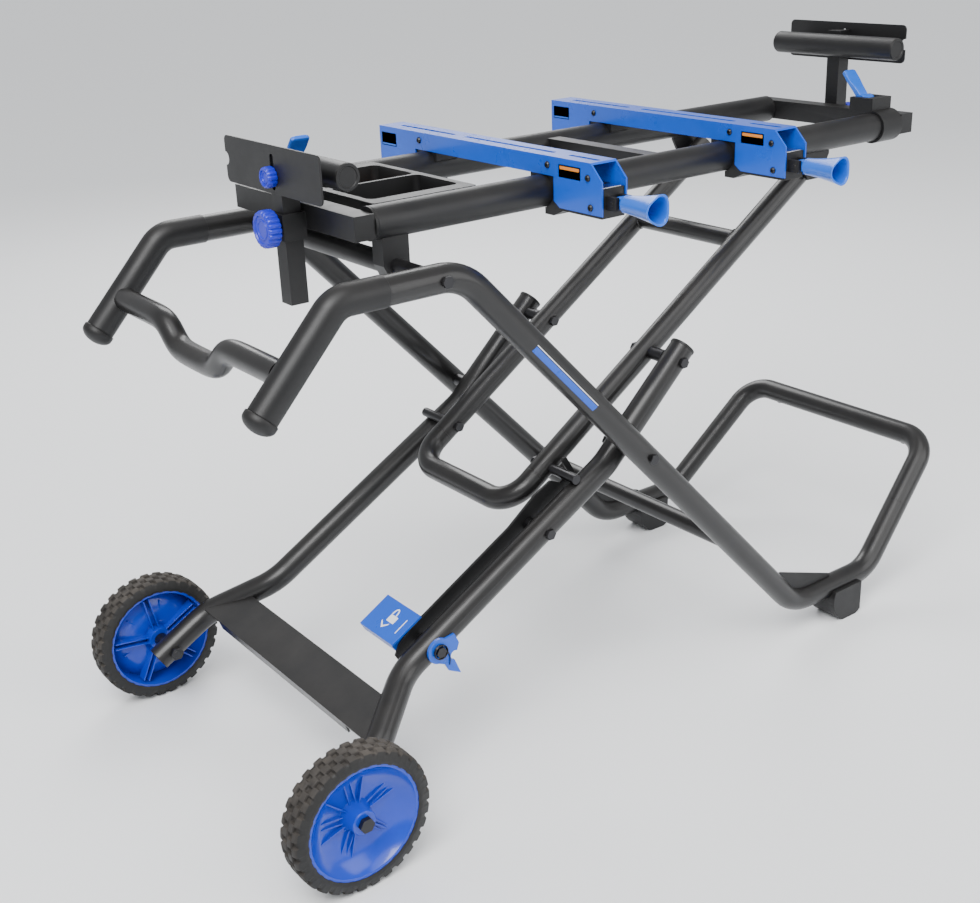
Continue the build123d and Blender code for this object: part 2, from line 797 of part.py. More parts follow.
# Parts tray between the rails, with its rim hooked over them
tray_x = (-612.0, -450.0)
tray_rim_z = 830.5
tray_floor_z = 800.0
tray_sheet = 3.0
tray_half_width = 108.0
with BuildPart() as tray:
    block((tray_x[0] + 8, tray_x[1] - 8), (-tray_half_width, tray_half_width), (tray_floor_z, tray_rim_z))
    block(tray_x, (-128, 128), (tray_rim_z - 4, tray_rim_z))
    fillet(tray.edges().filter_by(Axis.Z).group_by(Axis.X)[0], 5)
    fillet(tray.edges().filter_by(Axis.Z).group_by(Axis.X)[-1], 5)
    well_x = (tray_x[0] + 8 + tray_sheet, tray_x[1] - 8 - tray_sheet)
    well_width = well_x[1] - well_x[0]
    with BuildSketch(floor_plane(tray_floor_z + tray_sheet)):
        for cell_y, cell_width in ((-53, 100), (53, 100)):
            with Locations(((well_x[0] + well_x[1]) / 2, cell_y)):
                RectangleRounded(well_width, cell_width, 10)
    extrude(amount=60, mode=Mode.SUBTRACT)
    cut_rails()
    cut_left_collar()
tray.part.label = "tray"
export_step(tray.part, "parts/tray.step")

# End rings close the rails; an open bore is left where a wing slides in.
arm_radius = rail_radius - rail_wall - slide_gap
with BuildPart() as rail_caps:
    for _, sign in near_far:
        for facing in (-1, 1):
            inner_x = rail_middle_x + facing * rail_end
            outer_x = inner_x + facing * rail_cap
            run = ((inner_x, sign * rail_half_width, rail_z), (outer_x, sign * rail_half_width, rail_z))
            round_run(*run, rail_radius)
            if sign != facing:
                round_run(*run, arm_radius + slide_gap, mode=Mode.SUBTRACT)
rail_caps.part.label = "rail_caps"
export_step(rail_caps.part, "parts/rail_caps.step")

# Clamps that hold the wings: a split collar on the rail with a cam lever on top
clamp_ear_z = tray_rim_z + 0.5
lever_y = 103.0
lever_z = 846.0
lever_width = 26.0
cam_radius = 11.0
pin_radius = 4.0
for side, facing in (("right", 1), ("left", -1)):
    # The right clamp grips the near rail and the left clamp grips the far rail.
    rail_y = -facing * rail_half_width
    collar_outer = rail_middle_x + facing * (rail_end - 1)
    collar_inner = collar_outer - facing * collar_length
    collar_middle = (collar_outer + collar_inner) / 2
    hinge_y = -facing * lever_y
    with BuildPart() as rail_clamp:
        round_run(
            (collar_inner, rail_y, rail_z),
            (collar_outer, rail_y, rail_z),
            rail_radius + collar_sheet,
        )
        ear_low, ear_high = sorted((-facing * (lever_y - 12), rail_y))
        block(
            (min(collar_inner, collar_outer), max(collar_inner, collar_outer)),
            (ear_low, ear_high),
            (clamp_ear_z, lever_z + 8),
        )
        round_run(
            (collar_inner, rail_y, rail_z),
            (collar_outer, rail_y, rail_z),
            rail_radius,
            mode=Mode.SUBTRACT,
        )
        half_slot = lever_width / 2 + slide_gap
        block(
            (collar_middle - half_slot, collar_middle + half_slot),
            (hinge_y - cam_radius - 8, hinge_y + cam_radius + 8),
            (lever_z - cam_radius - 2, lever_z + 20),
            Mode.SUBTRACT,
        )
        round_run((collar_inner, hinge_y, lever_z), (collar_outer, hinge_y, lever_z), pin_radius)
    rail_clamp.part.label = f"rail_clamp_{side}"
    export_step(rail_clamp.part, f"parts/rail_clamp_{side}.step")

    with BuildPart() as cam_lever:
        half = lever_width / 2
        with BuildSketch(end_plane(collar_middle - half)) as profile:
            with Locations((hinge_y, lever_z)):
                Circle(cam_radius)
            with BuildLine():
                Polyline(
                    (hinge_y + facing * 2, lever_z + cam_radius),
                    (hinge_y + facing * 34, lever_z + 50),
                    (hinge_y + facing * 42, lever_z + 44),
                    (hinge_y + facing * 11, lever_z),
                    close=True,
                )
            make_face()
            with Locations((hinge_y, lever_z)):
                Circle(pin_radius + running_gap, mode=Mode.SUBTRACT)
        extrude(amount=lever_width)
    cam_lever.part.label = f"cam_lever_{side}"
    export_step(cam_lever.part, f"parts/cam_lever_{side}.step")

# ---- Saw brackets: a folded channel with a clamp block and a latch handle ----
end_bevel = 22.0
slot_width = 7.0
slot_runs = ((90, 230), (-142, 62), (-232, -172))
bracket_gap = 1.0
handle_hinge_y = -(beam_half_length + 10)
handle_hinge_z = 808.0
latch_top_z = 826.0
handle_mouth_y = -345.0
handle_pin = 3.0

for side, beam_x in (("left", beam_left_x), ("right", beam_right_x)):
    half = beam_width / 2
    with BuildPart() as saw_beam:
        with BuildSketch(end_plane(beam_x - half)):
            Polygon(
                (-beam_half_length, beam_near_z),
                (-176, beam_near_z),
                (-164, beam_near_z + 8),
                (-164, beam_shallow_z),
                (164, beam_shallow_z),
                (164, beam_far_z),
                (beam_half_length, beam_far_z),
                (beam_half_length, beam_top_z),
                (end_bevel - beam_half_length, beam_top_z),
                (-beam_half_length, beam_top_z - end_bevel),
                align=None,
            )
        extrude(amount=beam_width)
        with BuildSketch(end_plane(beam_x - half + beam_sheet)):
            inner_end = beam_half_length - beam_sheet
            inner_top = beam_top_z - beam_sheet
            Polygon(
                (-beam_half_length - 10, beam_near_z - 50),
                (inner_end, beam_near_z - 50),
                (inner_end, inner_top),
                (-beam_half_length - 10, inner_top),
                align=None,
            )
        extrude(amount=beam_width - 2 * beam_sheet, mode=Mode.SUBTRACT)
        with BuildSketch(floor_plane(beam_top_z - 10)):
            for start, end in slot_runs:
                with Locations((beam_x, (start + end) / 2)):
                    SlotOverall(end - start, slot_width, rotation=90)
        extrude(amount=20, mode=Mode.SUBTRACT)
        cut_rails(bracket_gap)
    saw_beam.part.label = f"saw_beam_{side}"
    export_step(saw_beam.part, f"parts/saw_beam_{side}.step")

    # The block stops short of the channel's top, so that bolt heads fit under the slots,
    # and steps down behind the channel's open near end.
    block_half = half - beam_sheet
    block_top = inner_top - 14
    with BuildPart() as beam_clamp:
        clamp_x = (beam_x - block_half, beam_x + block_half)
        with BuildSketch(end_plane(clamp_x[0])):
            Polygon(
                (-inner_end, beam_near_z - 4),
                (-180, beam_near_z - 4),
                (-160, 778),
                (-142, 778),
                (-142, 792),
                (-112, 820),
                (-112, block_top),
                (-184, block_top),
                (-194, latch_top_z),
                (-inner_end, latch_top_z),
                align=None,
            )
            Polygon(
                (112, block_top),
                (112, 820),
                (142, 792),
                (142, 780),
                (160, 780),
                (178, beam_far_z + 2),
                (178, block_top),
                align=None,
            )
        extrude(amount=2 * block_half)
        for facing in (-1, 1):
            lug = sorted((beam_x + facing * 8, beam_x + facing * 14))
            block(lug, (handle_hinge_y - 8, -inner_end), (handle_hinge_z - 9, handle_hinge_z + 9))
        round_run(
            (beam_x - 15, handle_hinge_y, handle_hinge_z),
            (beam_x + 15, handle_hinge_y, handle_hinge_z),
            handle_pin,
        )
        cut_rails(slide_gap)
    beam_clamp.part.label = f"beam_clamp_{side}"
    export_step(beam_clamp.part, f"parts/beam_clamp_{side}.step")

    with BuildPart() as latch_handle:
        root_y = handle_hinge_y - 13
        stations = ((root_y, 9.5), (root_y - 26, 10.5), (handle_mouth_y, 20.0))
        for station_y, radius in stations:
            with BuildSketch(Plane(origin=at(beam_x, station_y, handle_hinge_z), z_dir=(0, -1, 0))):
                Circle(radius)
        loft()
        with BuildSketch(Plane(origin=at(beam_x, handle_mouth_y, handle_hinge_z), z_dir=(0, 1, 0))):
            Circle(16.5)
        with BuildSketch(Plane(origin=at(beam_x, handle_mouth_y + 40, handle_hinge_z), z_dir=(0, 1, 0))):
            Circle(6.5)
        loft(mode=Mode.SUBTRACT)
        tongue = 8 - slide_gap
        with BuildSketch(end_plane(beam_x - tongue)):
            with Locations((handle_hinge_y, handle_hinge_z)):
                Circle(8)
            with Locations(((handle_hinge_y + root_y) / 2 - 3, handle_hinge_z)):
                Rectangle(16, 15)
        extrude(amount=2 * tongue)
        round_run(
            (beam_x - 15, handle_hinge_y, handle_hinge_z),
            (beam_x + 15, handle_hinge_y, handle_hinge_z),
            handle_pin + running_gap,
            mode=Mode.SUBTRACT,
        )
    latch_handle.part.label = f"latch_handle_{side}"
    export_step(latch_handle.part, f"parts/latch_handle_{side}.step")

# ---- Extension wings ----
knob_radius = 25.0
knob_height = 18.0
small_knob_radius = 14.0
sleeve_z = (780.0, 815.0)
for side, facing in (("right", 1), ("left", -1)):

    def wing_x(reach, facing=facing):
        """An x position measured outward from the middle of the rails."""
        return rail_middle_x + facing * reach

    def wing_range(near_reach, far_reach, facing=facing):
        """Two reaches as an ordered pair of x positions."""
        return sorted((wing_x(near_reach, facing), wing_x(far_reach, facing)))

    lift = right_post_lift if side == "right" else 0.0
    arm_y = -facing * rail_half_width
    post_y = facing * post_offset_y
    bar_x = wing_range(wing_bar_start, wing_bar_start + wing_bar_width)
    with BuildPart() as wing_arm:
        round_run(
            (wing_x(wing_bar_start), arm_y, rail_z),
            (wing_x(wing_bar_start - arm_length), arm_y, rail_z),
            arm_radius,
            tube_wall,
        )
        bar_z = (rail_z - wing_bar_height / 2, rail_z + wing_bar_height / 2)
        block(bar_x, (-wing_bar_reach - 4, wing_bar_reach + 4), bar_z)
        sheet = 2.0
        block(
            (bar_x[0] + sheet, bar_x[1] - sheet),
            (-wing_bar_reach, wing_bar_reach),
            (bar_z[0] + sheet, bar_z[1] - sheet),
            Mode.SUBTRACT,
        )
        sleeve_x = wing_range(post_centre - sleeve_width / 2, post_centre + sleeve_width / 2)
        block(sleeve_x, (post_y - sleeve_width / 2, post_y + sleeve_width / 2), sleeve_z)
        bore = post_width / 2 + slide_gap
        block(
            wing_range(post_centre - bore, post_centre + bore),
            (post_y - bore, post_y + bore),
            (sleeve_z[0] - 5, sleeve_z[1] + 5),
            Mode.SUBTRACT,
        )
        knob_z = 797.0
        round_run(
            (wing_x(post_centre), post_y, knob_z),
            (wing_x(post_centre + sleeve_width), post_y, knob_z),
            bolt_radius + running_gap,
            mode=Mode.SUBTRACT,
        )
    wing_arm.part.label = f"wing_arm_{side}"
    export_step(wing_arm.part, f"parts/wing_arm_{side}.step")

    with BuildPart() as post:
        half = post_width / 2
        post_x = wing_range(post_centre - half, post_centre + half)
        post_z = (post_bottom_z + lift, post_bottom_z + post_length + lift)
        block(post_x, (post_y - half, post_y + half), post_z)
        wall = tube_wall
        block(
            (post_x[0] + wall, post_x[1] - wall),
            (post_y - half + wall, post_y + half - wall),
            (post_z[0] - 1, post_z[1] - wall),
            Mode.SUBTRACT,
        )
        stop_knob_z = support_z + lift - 6
        round_run(
            (wing_x(post_centre), post_y, stop_knob_z),
            (wing_x(post_centre + post_width), post_y, stop_knob_z),
            pin_radius + running_gap,
            mode=Mode.SUBTRACT,
        )
    post.part.label = f"post_{side}"
    export_step(post.part, f"parts/post_{side}.step")

    bar_centre = post_centre - post_width / 2 - support_radius
    with BuildPart() as support_bar:
        support_run = (
            (wing_x(bar_centre), -support_length / 2, support_z + lift),
            (wing_x(bar_centre), support_length / 2, support_z + lift),
        )
        round_run(*support_run, support_radius)
        round_run(*support_run, support_radius - tube_wall, mode=Mode.SUBTRACT)
        for _, sign in near_far:
            end_y = sign * support_length / 2
            cap_run = (
                (wing_x(bar_centre), end_y - sign * 2, support_z + lift),
                (wing_x(bar_centre), end_y, support_z + lift),
            )
            round_run(*cap_run, support_radius - tube_wall)
    support_bar.part.label = f"support_bar_{side}"
    export_step(support_bar.part, f"parts/support_bar_{side}.step")

    plate_start = post_centre + post_width / 2 + slide_gap
    plate_y = facing * stop_offset_y
    with BuildPart() as stop_plate:
        plate_x = wing_range(plate_start, plate_start + stop_sheet)
        with BuildSketch(end_plane(plate_x[0])):
            with Locations((plate_y, support_z + lift + 3)):
                RectangleRounded(stop_width, stop_height, 8)
            with Locations((post_y, support_z + lift)):
                SlotOverall(46, 2 * pin_radius + 1, rotation=90, mode=Mode.SUBTRACT)
            with Locations((plate_y - facing * stop_width / 2, support_z + lift + 3)):
                Circle(9, mode=Mode.SUBTRACT)
        extrude(amount=stop_sheet)
    stop_plate.part.label = f"stop_plate_{side}"
    export_step(stop_plate.part, f"parts/stop_plate_{side}.step")

    with BuildPart() as post_knob:
        face_reach = post_centre + sleeve_width / 2 + slide_gap
        outward = (facing, 0, 0)
        with BuildSketch(Plane(origin=at(wing_x(face_reach + 5), post_y, knob_z), z_dir=outward)):
            Circle(knob_radius)
            with PolarLocations(knob_radius + 3, 7):
                Circle(6, mode=Mode.SUBTRACT)
        extrude(amount=knob_height)
        fillet(post_knob.faces().filter_by(Axis.X).sort_by(Axis.X)[-1 if facing > 0 else 0].edges(), 2)
        round_run(
            (wing_x(face_reach), post_y, knob_z),
            (wing_x(face_reach + 5), post_y, knob_z),
            12,
        )
        round_run(
            (wing_x(post_centre + post_width / 2 + slide_gap), post_y, knob_z),
            (wing_x(face_reach + 5), post_y, knob_z),
            bolt_radius,
        )
    post_knob.part.label = f"post_knob_{side}"
    export_step(post_knob.part, f"parts/post_knob_{side}.step")

    with BuildPart() as stop_knob:
        face_reach = plate_start + stop_sheet + slide_gap
        with BuildSketch(Plane(origin=at(wing_x(face_reach), post_y, stop_knob_z), z_dir=outward)):
            Circle(small_knob_radius)
            with PolarLocations(small_knob_radius + 2.5, 5):
                Circle(5, mode=Mode.SUBTRACT)
        extrude(amount=13)
        round_run(
            (wing_x(post_centre + post_width / 2 - 6), post_y, stop_knob_z),
            (wing_x(face_reach), post_y, stop_knob_z),
            pin_radius,
        )
    stop_knob.part.label = f"stop_knob_{side}"
    export_step(stop_knob.part, f"parts/stop_knob_{side}.step")

# ---- Pedal latch on the near wheel leg ----


def along_leg(u, v):
    """A place in the side view, measured along the wheel leg from the latch bolt."""
    turn = radians(leg_angle)
    return (
        latch_pivot[0] + u * cos(turn) - v * sin(turn),
        latch_pivot[1] + u * sin(turn) + v * cos(turn),
    )


peg_turn = radians(-leg_angle)
peg_dx = rest_peg[0] - latch_pivot[0]
peg_dz = rest_peg[1] - latch_pivot[1]
peg_u = peg_dx * cos(peg_turn) - peg_dz * sin(peg_turn)
peg_v = peg_dx * sin(peg_turn) + peg_dz * cos(peg_turn)
notch_floor = peg_v - peg_radius - 9
with BuildPart() as latch_bar:
    side_plate(
        [
            along_leg(-275, -4),
            along_leg(-268, -11),
            along_leg(-250, -12),
            along_leg(peg_u + 10, -12),
            along_leg(peg_u + 22, -2),
            along_leg(peg_u + 22, peg_v + 10),
            along_leg(peg_u + 16, peg_v + 14),
            along_leg(peg_u + peg_radius + 5, peg_v + 10),
            along_leg(peg_u + peg_radius + 5, notch_floor + 4),
            along_leg(peg_u + peg_radius, notch_floor),
            along_leg(peg_u - peg_radius, notch_floor),
            along_leg(peg_u - peg_radius - 2, notch_floor + 5),
            along_leg(peg_u - peg_radius - 12, 28),
            along_leg(30, 30),
            along_leg(-30, 22),
            along_leg(-235, 22),
            along_leg(-262, 16),
            along_leg(-275, 6),
        ],
        latch_inner_y,
        latch_outer_y,
    )
    across(latch_pivot, latch_outer_y - 1, latch_inner_y + 1, bolt_radius + running_gap, Mode.SUBTRACT)
latch_bar.part.label = "latch_bar"
export_step(latch_bar.part, "parts/latch_bar.step")

pedal_start = -270.0
pedal_run = 58.0
pedal_reach = 84.0
pedal_sheet = 4.0
with BuildPart() as latch_pedal:
    side_plate(
        [
            along_leg(pedal_start, 22),
            along_leg(pedal_start + pedal_run, 22),
            along_leg(pedal_start + pedal_run, 22 + pedal_sheet),
            along_leg(pedal_start, 22 + pedal_sheet),
        ],
        latch_outer_y + pedal_reach,
        latch_outer_y,
    )
    side_plate(
        [
            along_leg(pedal_start + 2, 2),
            along_leg(pedal_start + pedal_run, 2),
            along_leg(pedal_start + pedal_run, 22),
            along_leg(pedal_start + 2, 22),
        ],
        latch_inner_y + 3,
        latch_inner_y,
    )
    side_plate(
        [
            along_leg(pedal_start, 10),
            along_leg(pedal_start + pedal_sheet, 10),
            along_leg(pedal_start + pedal_sheet, 22),
            along_leg(pedal_start, 22),
        ],
        latch_outer_y + pedal_reach,
        latch_inner_y,
    )
latch_pedal.part.label = "latch_pedal"
export_step(latch_pedal.part, "parts/latch_pedal.step")

# The transport hook hangs on the outer side of the near leg.
lobe_radius = 19.0
with BuildPart() as transport_hook:
    hx = hook_pivot[0]
    hz = hook_pivot[1]
    with BuildSketch(side_plane(hook_inner_y)):
        with Locations(hook_pivot):
            Circle(lobe_radius)
        Polygon(
            (hx - 14, hz + 12),
            (hx + 26, hz + 18),
            (hx + 33, hz + 2),
            (hx + 24, hz - 22),
            (hx + 34, hz - 47),
            (hx + 14, hz - 36),
            (hx + 8, hz - 24),
            (hx - 4, hz - 18),
            align=None,
        )
        with Locations((hx + 25, hz - 15)):
            Circle(7, mode=Mode.SUBTRACT)
        with Locations(hook_pivot):
            Circle(bolt_radius + running_gap, mode=Mode.SUBTRACT)
    extrude(amount=hook_sheet)
transport_hook.part.label = "transport_hook"
export_step(transport_hook.part, "parts/transport_hook.step")
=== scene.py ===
"""Finished surfaces of a folding, wheeled saw stand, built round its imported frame."""

import json
import math

import bmesh
import bpy
import numpy as np
from mathutils import Matrix, Vector


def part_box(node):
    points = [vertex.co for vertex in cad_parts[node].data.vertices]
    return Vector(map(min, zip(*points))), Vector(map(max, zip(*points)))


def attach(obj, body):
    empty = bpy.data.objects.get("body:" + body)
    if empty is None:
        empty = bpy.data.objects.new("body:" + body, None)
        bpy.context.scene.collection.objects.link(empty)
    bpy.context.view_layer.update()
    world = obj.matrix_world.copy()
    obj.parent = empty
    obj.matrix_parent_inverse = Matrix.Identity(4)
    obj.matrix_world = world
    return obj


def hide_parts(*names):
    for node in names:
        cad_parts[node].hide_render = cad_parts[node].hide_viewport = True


bl_info = {
    "name": "Folding saw stand",
    "version": (1, 0, 0),
    "blender": (4, 5, 0),
    "location": "3D View > Sidebar > Saw stand",
    "description": "Builds the finished surfaces of a folding saw stand round its frame",
    "category": "Object",
}

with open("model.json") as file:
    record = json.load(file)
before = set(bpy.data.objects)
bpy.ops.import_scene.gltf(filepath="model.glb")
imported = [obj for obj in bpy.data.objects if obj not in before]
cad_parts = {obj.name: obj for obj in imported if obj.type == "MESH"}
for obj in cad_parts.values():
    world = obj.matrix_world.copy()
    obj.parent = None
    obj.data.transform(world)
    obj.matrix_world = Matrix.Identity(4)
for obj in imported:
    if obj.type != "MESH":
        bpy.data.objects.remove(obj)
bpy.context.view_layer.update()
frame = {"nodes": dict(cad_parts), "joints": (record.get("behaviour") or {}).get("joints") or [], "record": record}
record = frame["record"]
BODY_OF = {n: b for b, nodes in record["behaviour"]["bodies"].items() for n in nodes}
SLOT_OF = {s["node"]: s["material_slot"] for s in record["subparts"]}
JOINT = {joint["name"]: joint for joint in frame["joints"]}
SIDES = (("left", -1), ("right", 1))
NEAR_FAR = (("near", -1), ("far", 1))
TURN = 2 * math.pi
FAR_WAY = np.array([0, 1.0, 0])

# Radius of the frame's tubes, and the directions of their long diagonal and of the lift legs
TUBE_RADIUS = 0.01905
DIAGONAL_RUN = np.array([0.6870, 0, -0.7267])
LIFT_RUN = np.array([0.8329, 0, 0.5534])

# Where the mouths of the grips lie, along the stand and in height
GRIP_MOUTH = (-0.6468, 0.6360)

# Screws on each beam: distance in from the near end (or, negative, from the far end) and
# distance below the top face
SCREW_PLACES = ((0.027, 0.020), (0.022, 0.058), (0.109, 0.012), (-0.109, 0.012))

# Top of the latch block behind the beam's open end
CLIP_Z = 0.8262

# The camera's place, and its heading, fall and tilt in degrees
CAMERA_PLACE = (-1.3018, -1.5589, 1.1752)
CAMERA_ANGLES = (53.74, 22.10, -2.31)

# Nodes that get a new surface; every other node is shown as a smoothed copy of itself.
REMADE = {"handle_caps", "handle_bar"}
for side, _ in SIDES:
    REMADE |= {f"latch_handle_{side}", f"cam_lever_{side}"}
    REMADE |= {f"post_knob_{side}", f"stop_knob_{side}"}
for side, _ in NEAR_FAR:
    REMADE |= {f"tyre_{side}", f"hub_{side}"}

# ---- Finishes ----


def new_group(name, inputs, outputs):
    """An empty shader group with named inputs and outputs, and its two end nodes."""
    group = bpy.data.node_groups.new(name, "ShaderNodeTree")
    for label, kind, value in inputs:
        socket = group.interface.new_socket(label, in_out="INPUT", socket_type=kind)
        socket.default_value = value
    for label, kind in outputs:
        group.interface.new_socket(label, in_out="OUTPUT", socket_type=kind)
    return group, group.nodes.new("NodeGroupInput"), group.nodes.new("NodeGroupOutput")


def add_node(tree, kind, links=None, **settings):
    """A node with its settings made, its inputs set to values or linked to sockets."""
    node = tree.nodes.new(kind)
    for key, value in settings.items():
        setattr(node, key, value)
    for key, value in (links or {}).items():
        if isinstance(value, bpy.types.NodeSocket):
            tree.links.new(value, node.inputs[key])
        else:
            node.inputs[key].default_value = value
    return node


def noise(tree, scale, detail=3.0, roughness=0.55):
    """Noise over the object's own coordinates, as a value about one half."""
    place = add_node(tree, "ShaderNodeTexCoord")
    return add_node(
        tree,
        "ShaderNodeTexNoise",
        {"Vector": place.outputs["Object"], "Scale": scale, "Detail": detail, "Roughness": roughness},
    ).outputs["Fac"]


def multiply(tree, first, second):
    """The product of two values."""
    return add_node(tree, "ShaderNodeMath", {0: first, 1: second}, operation="MULTIPLY").outputs[0]


def mix_colours(tree, share, first, second):
    """One colour blended into another by a share."""
    links = {0: share, 6: first, 7: second}
    return add_node(tree, "ShaderNodeMix", links, data_type="RGBA").outputs[2]


def dust_group():
    """Dust that gathers on upward faces in uneven patches, and the mask of where it lies."""
    group, start, end = new_group(
        "dust_film",
        [
            ("Colour", "NodeSocketColor", (0.02, 0.02, 0.02, 1)),
            ("Dust Colour", "NodeSocketColor", (0.3, 0.26, 0.22, 1)),
            ("Amount", "NodeSocketFloat", 0.2),
            ("Scale", "NodeSocketFloat", 14.0),
        ],
        [("Colour", "NodeSocketColor"), ("Mask", "NodeSocketFloat")],
    )
    normal = add_node(group, "ShaderNodeNewGeometry").outputs["Normal"]
    upward = add_node(group, "ShaderNodeSeparateXYZ", {0: normal}).outputs["Z"]
    facing = add_node(group, "ShaderNodeMapRange", {0: upward, 1: -0.2, 2: 0.95}).outputs[0]
    patches = noise(group, start.outputs["Scale"], 5.0, 0.65)
    patchy = add_node(group, "ShaderNodeMapRange", {0: patches, 1: 0.32, 2: 0.72}).outputs[0]
    settled = multiply(group, facing, patchy)
    mask = multiply(group, settled, start.outputs["Amount"])
    colour = mix_colours(group, mask, start.outputs["Colour"], start.outputs["Dust Colour"])
    group.links.new(colour, end.inputs["Colour"])
    group.links.new(mask, end.inputs["Mask"])
    return group


def grain_group():
    """Two sizes of fine bumps, as on powder coat and on moulded plastic."""
    group, start, end = new_group(
        "surface_grain",
        [("Scale", "NodeSocketFloat", 900.0), ("Waviness", "NodeSocketFloat", 0.3)],
        [("Height", "NodeSocketFloat")],
    )
    fine = noise(group, start.outputs["Scale"], 2.0, 0.5)
    coarse_scale = multiply(group, start.outputs["Scale"], 0.06)
    coarse = multiply(group, noise(group, coarse_scale, 2.0, 0.5), start.outputs["Waviness"])
    height = add_node(group, "ShaderNodeMath", {0: fine, 1: coarse}, operation="ADD").outputs[0]
    group.links.new(height, end.inputs["Height"])
    return group


def wear_group():
    """Rubbed streaks: noise drawn out along X, kept where it is strongest."""
    group, start, end = new_group(
        "rubbed_streaks",
        [("Scale", "NodeSocketFloat", 30.0), ("Amount", "NodeSocketFloat", 0.3)],
        [("Mask", "NodeSocketFloat")],
    )
    place = add_node(group, "ShaderNodeTexCoord").outputs["Object"]
    drawn = add_node(group, "ShaderNodeMapping", {"Vector": place, "Scale": (0.25, 1, 1.6)})
    streaks = add_node(
        group,
        "ShaderNodeTexNoise",
        {"Vector": drawn.outputs[0], "Scale": start.outputs["Scale"], "Detail": 6.0},
    ).outputs["Fac"]
    kept = add_node(group, "ShaderNodeMapRange", {0: streaks, 1: 0.52, 2: 0.75}).outputs[0]
    group.links.new(multiply(group, kept, start.outputs["Amount"]), end.inputs["Mask"])
    return group


# Each finish: colour setting, roughness low and high, metal, coat, grain size and depth,
# dust amount and streak amount
FINISHES = {
    "powder_black": ("tube_black", 0.32, 0.40, 0.0, 0.2, 1500, 0.10, 0.03, 0.10),
    "satin_black": ("metal_black", 0.40, 0.48, 0.0, 0.0, 1200, 0.12, 0.03, 0.10),
    "black_plastic": ("plastic_black", 0.42, 0.52, 0.0, 0.0, 900, 0.22, 0.04, 0.10),
    "blue_paint": ("beam_blue", 0.26, 0.34, 0.0, 0.25, 500, 0.04, 0.01, 0.06),
    "blue_plastic": ("moulded_blue", 0.28, 0.36, 0.0, 0.15, 700, 0.07, 0.01, 0.06),
    "hub_blue": ("hub_blue", 0.16, 0.26, 0.0, 0.3, 600, 0.04, 0.03, 0.06),
    "knob_blue": ("knob_blue", 0.28, 0.38, 0.0, 0.15, 800, 0.07, 0.01, 0.06),
    "tyre_rubber": ("rubber_black", 0.50, 0.62, 0.0, 0.0, 700, 0.25, 0.06, 0.12),
    "tread_rubber": ("tread_brown", 0.62, 0.80, 0.0, 0.0, 500, 0.45, 0.22, 0.45),
    "zinc_steel": ("bolt_steel", 0.25, 0.42, 0.9, 0.0, 900, 0.1, 0.04, 0.25),
    "bright_steel": ("bright_steel", 0.18, 0.3, 1.0, 0.0, 900, 0.08, 0.02, 0.2),
    "mark_white": ("mark_white", 0.4, 0.5, 0.0, 0.0, 900, 0.05, 0.02, 0.06),
    "label_black": ("label_black", 0.3, 0.4, 0.0, 0.2, 900, 0.03, 0.02, 0.06),
    "label_orange": ("label_orange", 0.35, 0.45, 0.0, 0.1, 900, 0.03, 0.02, 0.06),
}
GROUPS = {}
MATERIALS = {}


def finish_for(name):
    """The material of a finish, made the first time it is asked for."""
    if name in MATERIALS:
        return MATERIALS[name]
    if not GROUPS:
        GROUPS.update(dust=dust_group(), grain=grain_group(), wear=wear_group())
    colour_name, smooth, rough, metal, coat, grain_size, depth, dust, streaks = FINISHES[name]
    colour = (*getattr(bpy.context.scene.stand_colours, colour_name), 1)
    material = bpy.data.materials.new(name)
    material.use_nodes = True
    tree = material.node_tree
    tree.nodes.clear()
    film = add_node(tree, "ShaderNodeGroup", node_tree=GROUPS["dust"])
    grain = add_node(tree, "ShaderNodeGroup", node_tree=GROUPS["grain"])
    wear = add_node(tree, "ShaderNodeGroup", node_tree=GROUPS["wear"])
    worn = tuple(min(1.0, c * 1.4 + 0.012) for c in colour[:3]) + (1,)
    wear.inputs["Amount"].default_value = streaks
    base = mix_colours(tree, wear.outputs["Mask"], colour, worn)
    tree.links.new(base, film.inputs["Colour"])
    film.inputs["Amount"].default_value = dust
    grain.inputs["Scale"].default_value = grain_size
    spread = noise(tree, 24.0, 4.0)
    sheen = add_node(tree, "ShaderNodeMapRange", {0: spread, 1: 0.3, 2: 0.7, 3: smooth, 4: rough})
    dull = add_node(
        tree, "ShaderNodeMath", {0: film.outputs["Mask"], 1: 0.35, 2: sheen.outputs[0]},
        operation="MULTIPLY_ADD",
    )
    bump = add_node(
        tree, "ShaderNodeBump",
        {"Strength": depth, "Distance": 0.0004, "Height": grain.outputs["Height"]},
    )
    shader = add_node(
        tree, "ShaderNodeBsdfPrincipled",
        {
            "Base Color": film.outputs["Colour"], "Roughness": dull.outputs[0],
            "Metallic": metal, "Coat Weight": coat, "Normal": bump.outputs[0],
        },
    )
    shader.inputs["Coat Roughness"].default_value = 0.15
    shader.inputs["Specular IOR Level"].default_value = 0.4
    target = add_node(tree, "ShaderNodeOutputMaterial")
    tree.links.new(shader.outputs[0], target.inputs[0])
    MATERIALS[name] = material
    return material


# ---- Surfaces ----


def grid_faces(rows, columns, close_rows=False, close_columns=False):
    """Quads between neighbouring points of a grid, closed round either way."""
    index = np.arange(rows * columns).reshape(rows, columns)
    if close_rows:
        index = np.vstack([index, index[:1]])
    if close_columns:
        index = np.hstack([index, index[:, :1]])
    quads = np.stack([index[:-1, :-1], index[:-1, 1:], index[1:, 1:], index[1:, :-1]], -1)
    return quads.reshape(-1, 4).tolist()


def shell(points, close_rows=False, cap_ends=True):
    """A skin over rings of points (ring, place on ring, xyz), its end rings capped."""
    rings, places = points.shape[:2]
    faces = grid_faces(rings, places, close_rows, True)
    if cap_ends and not close_rows:
        last = (rings - 1) * places
        faces.append(list(range(places))[::-1])
        faces.append([last + i for i in range(places)])
    return points.reshape(-1, 3), faces


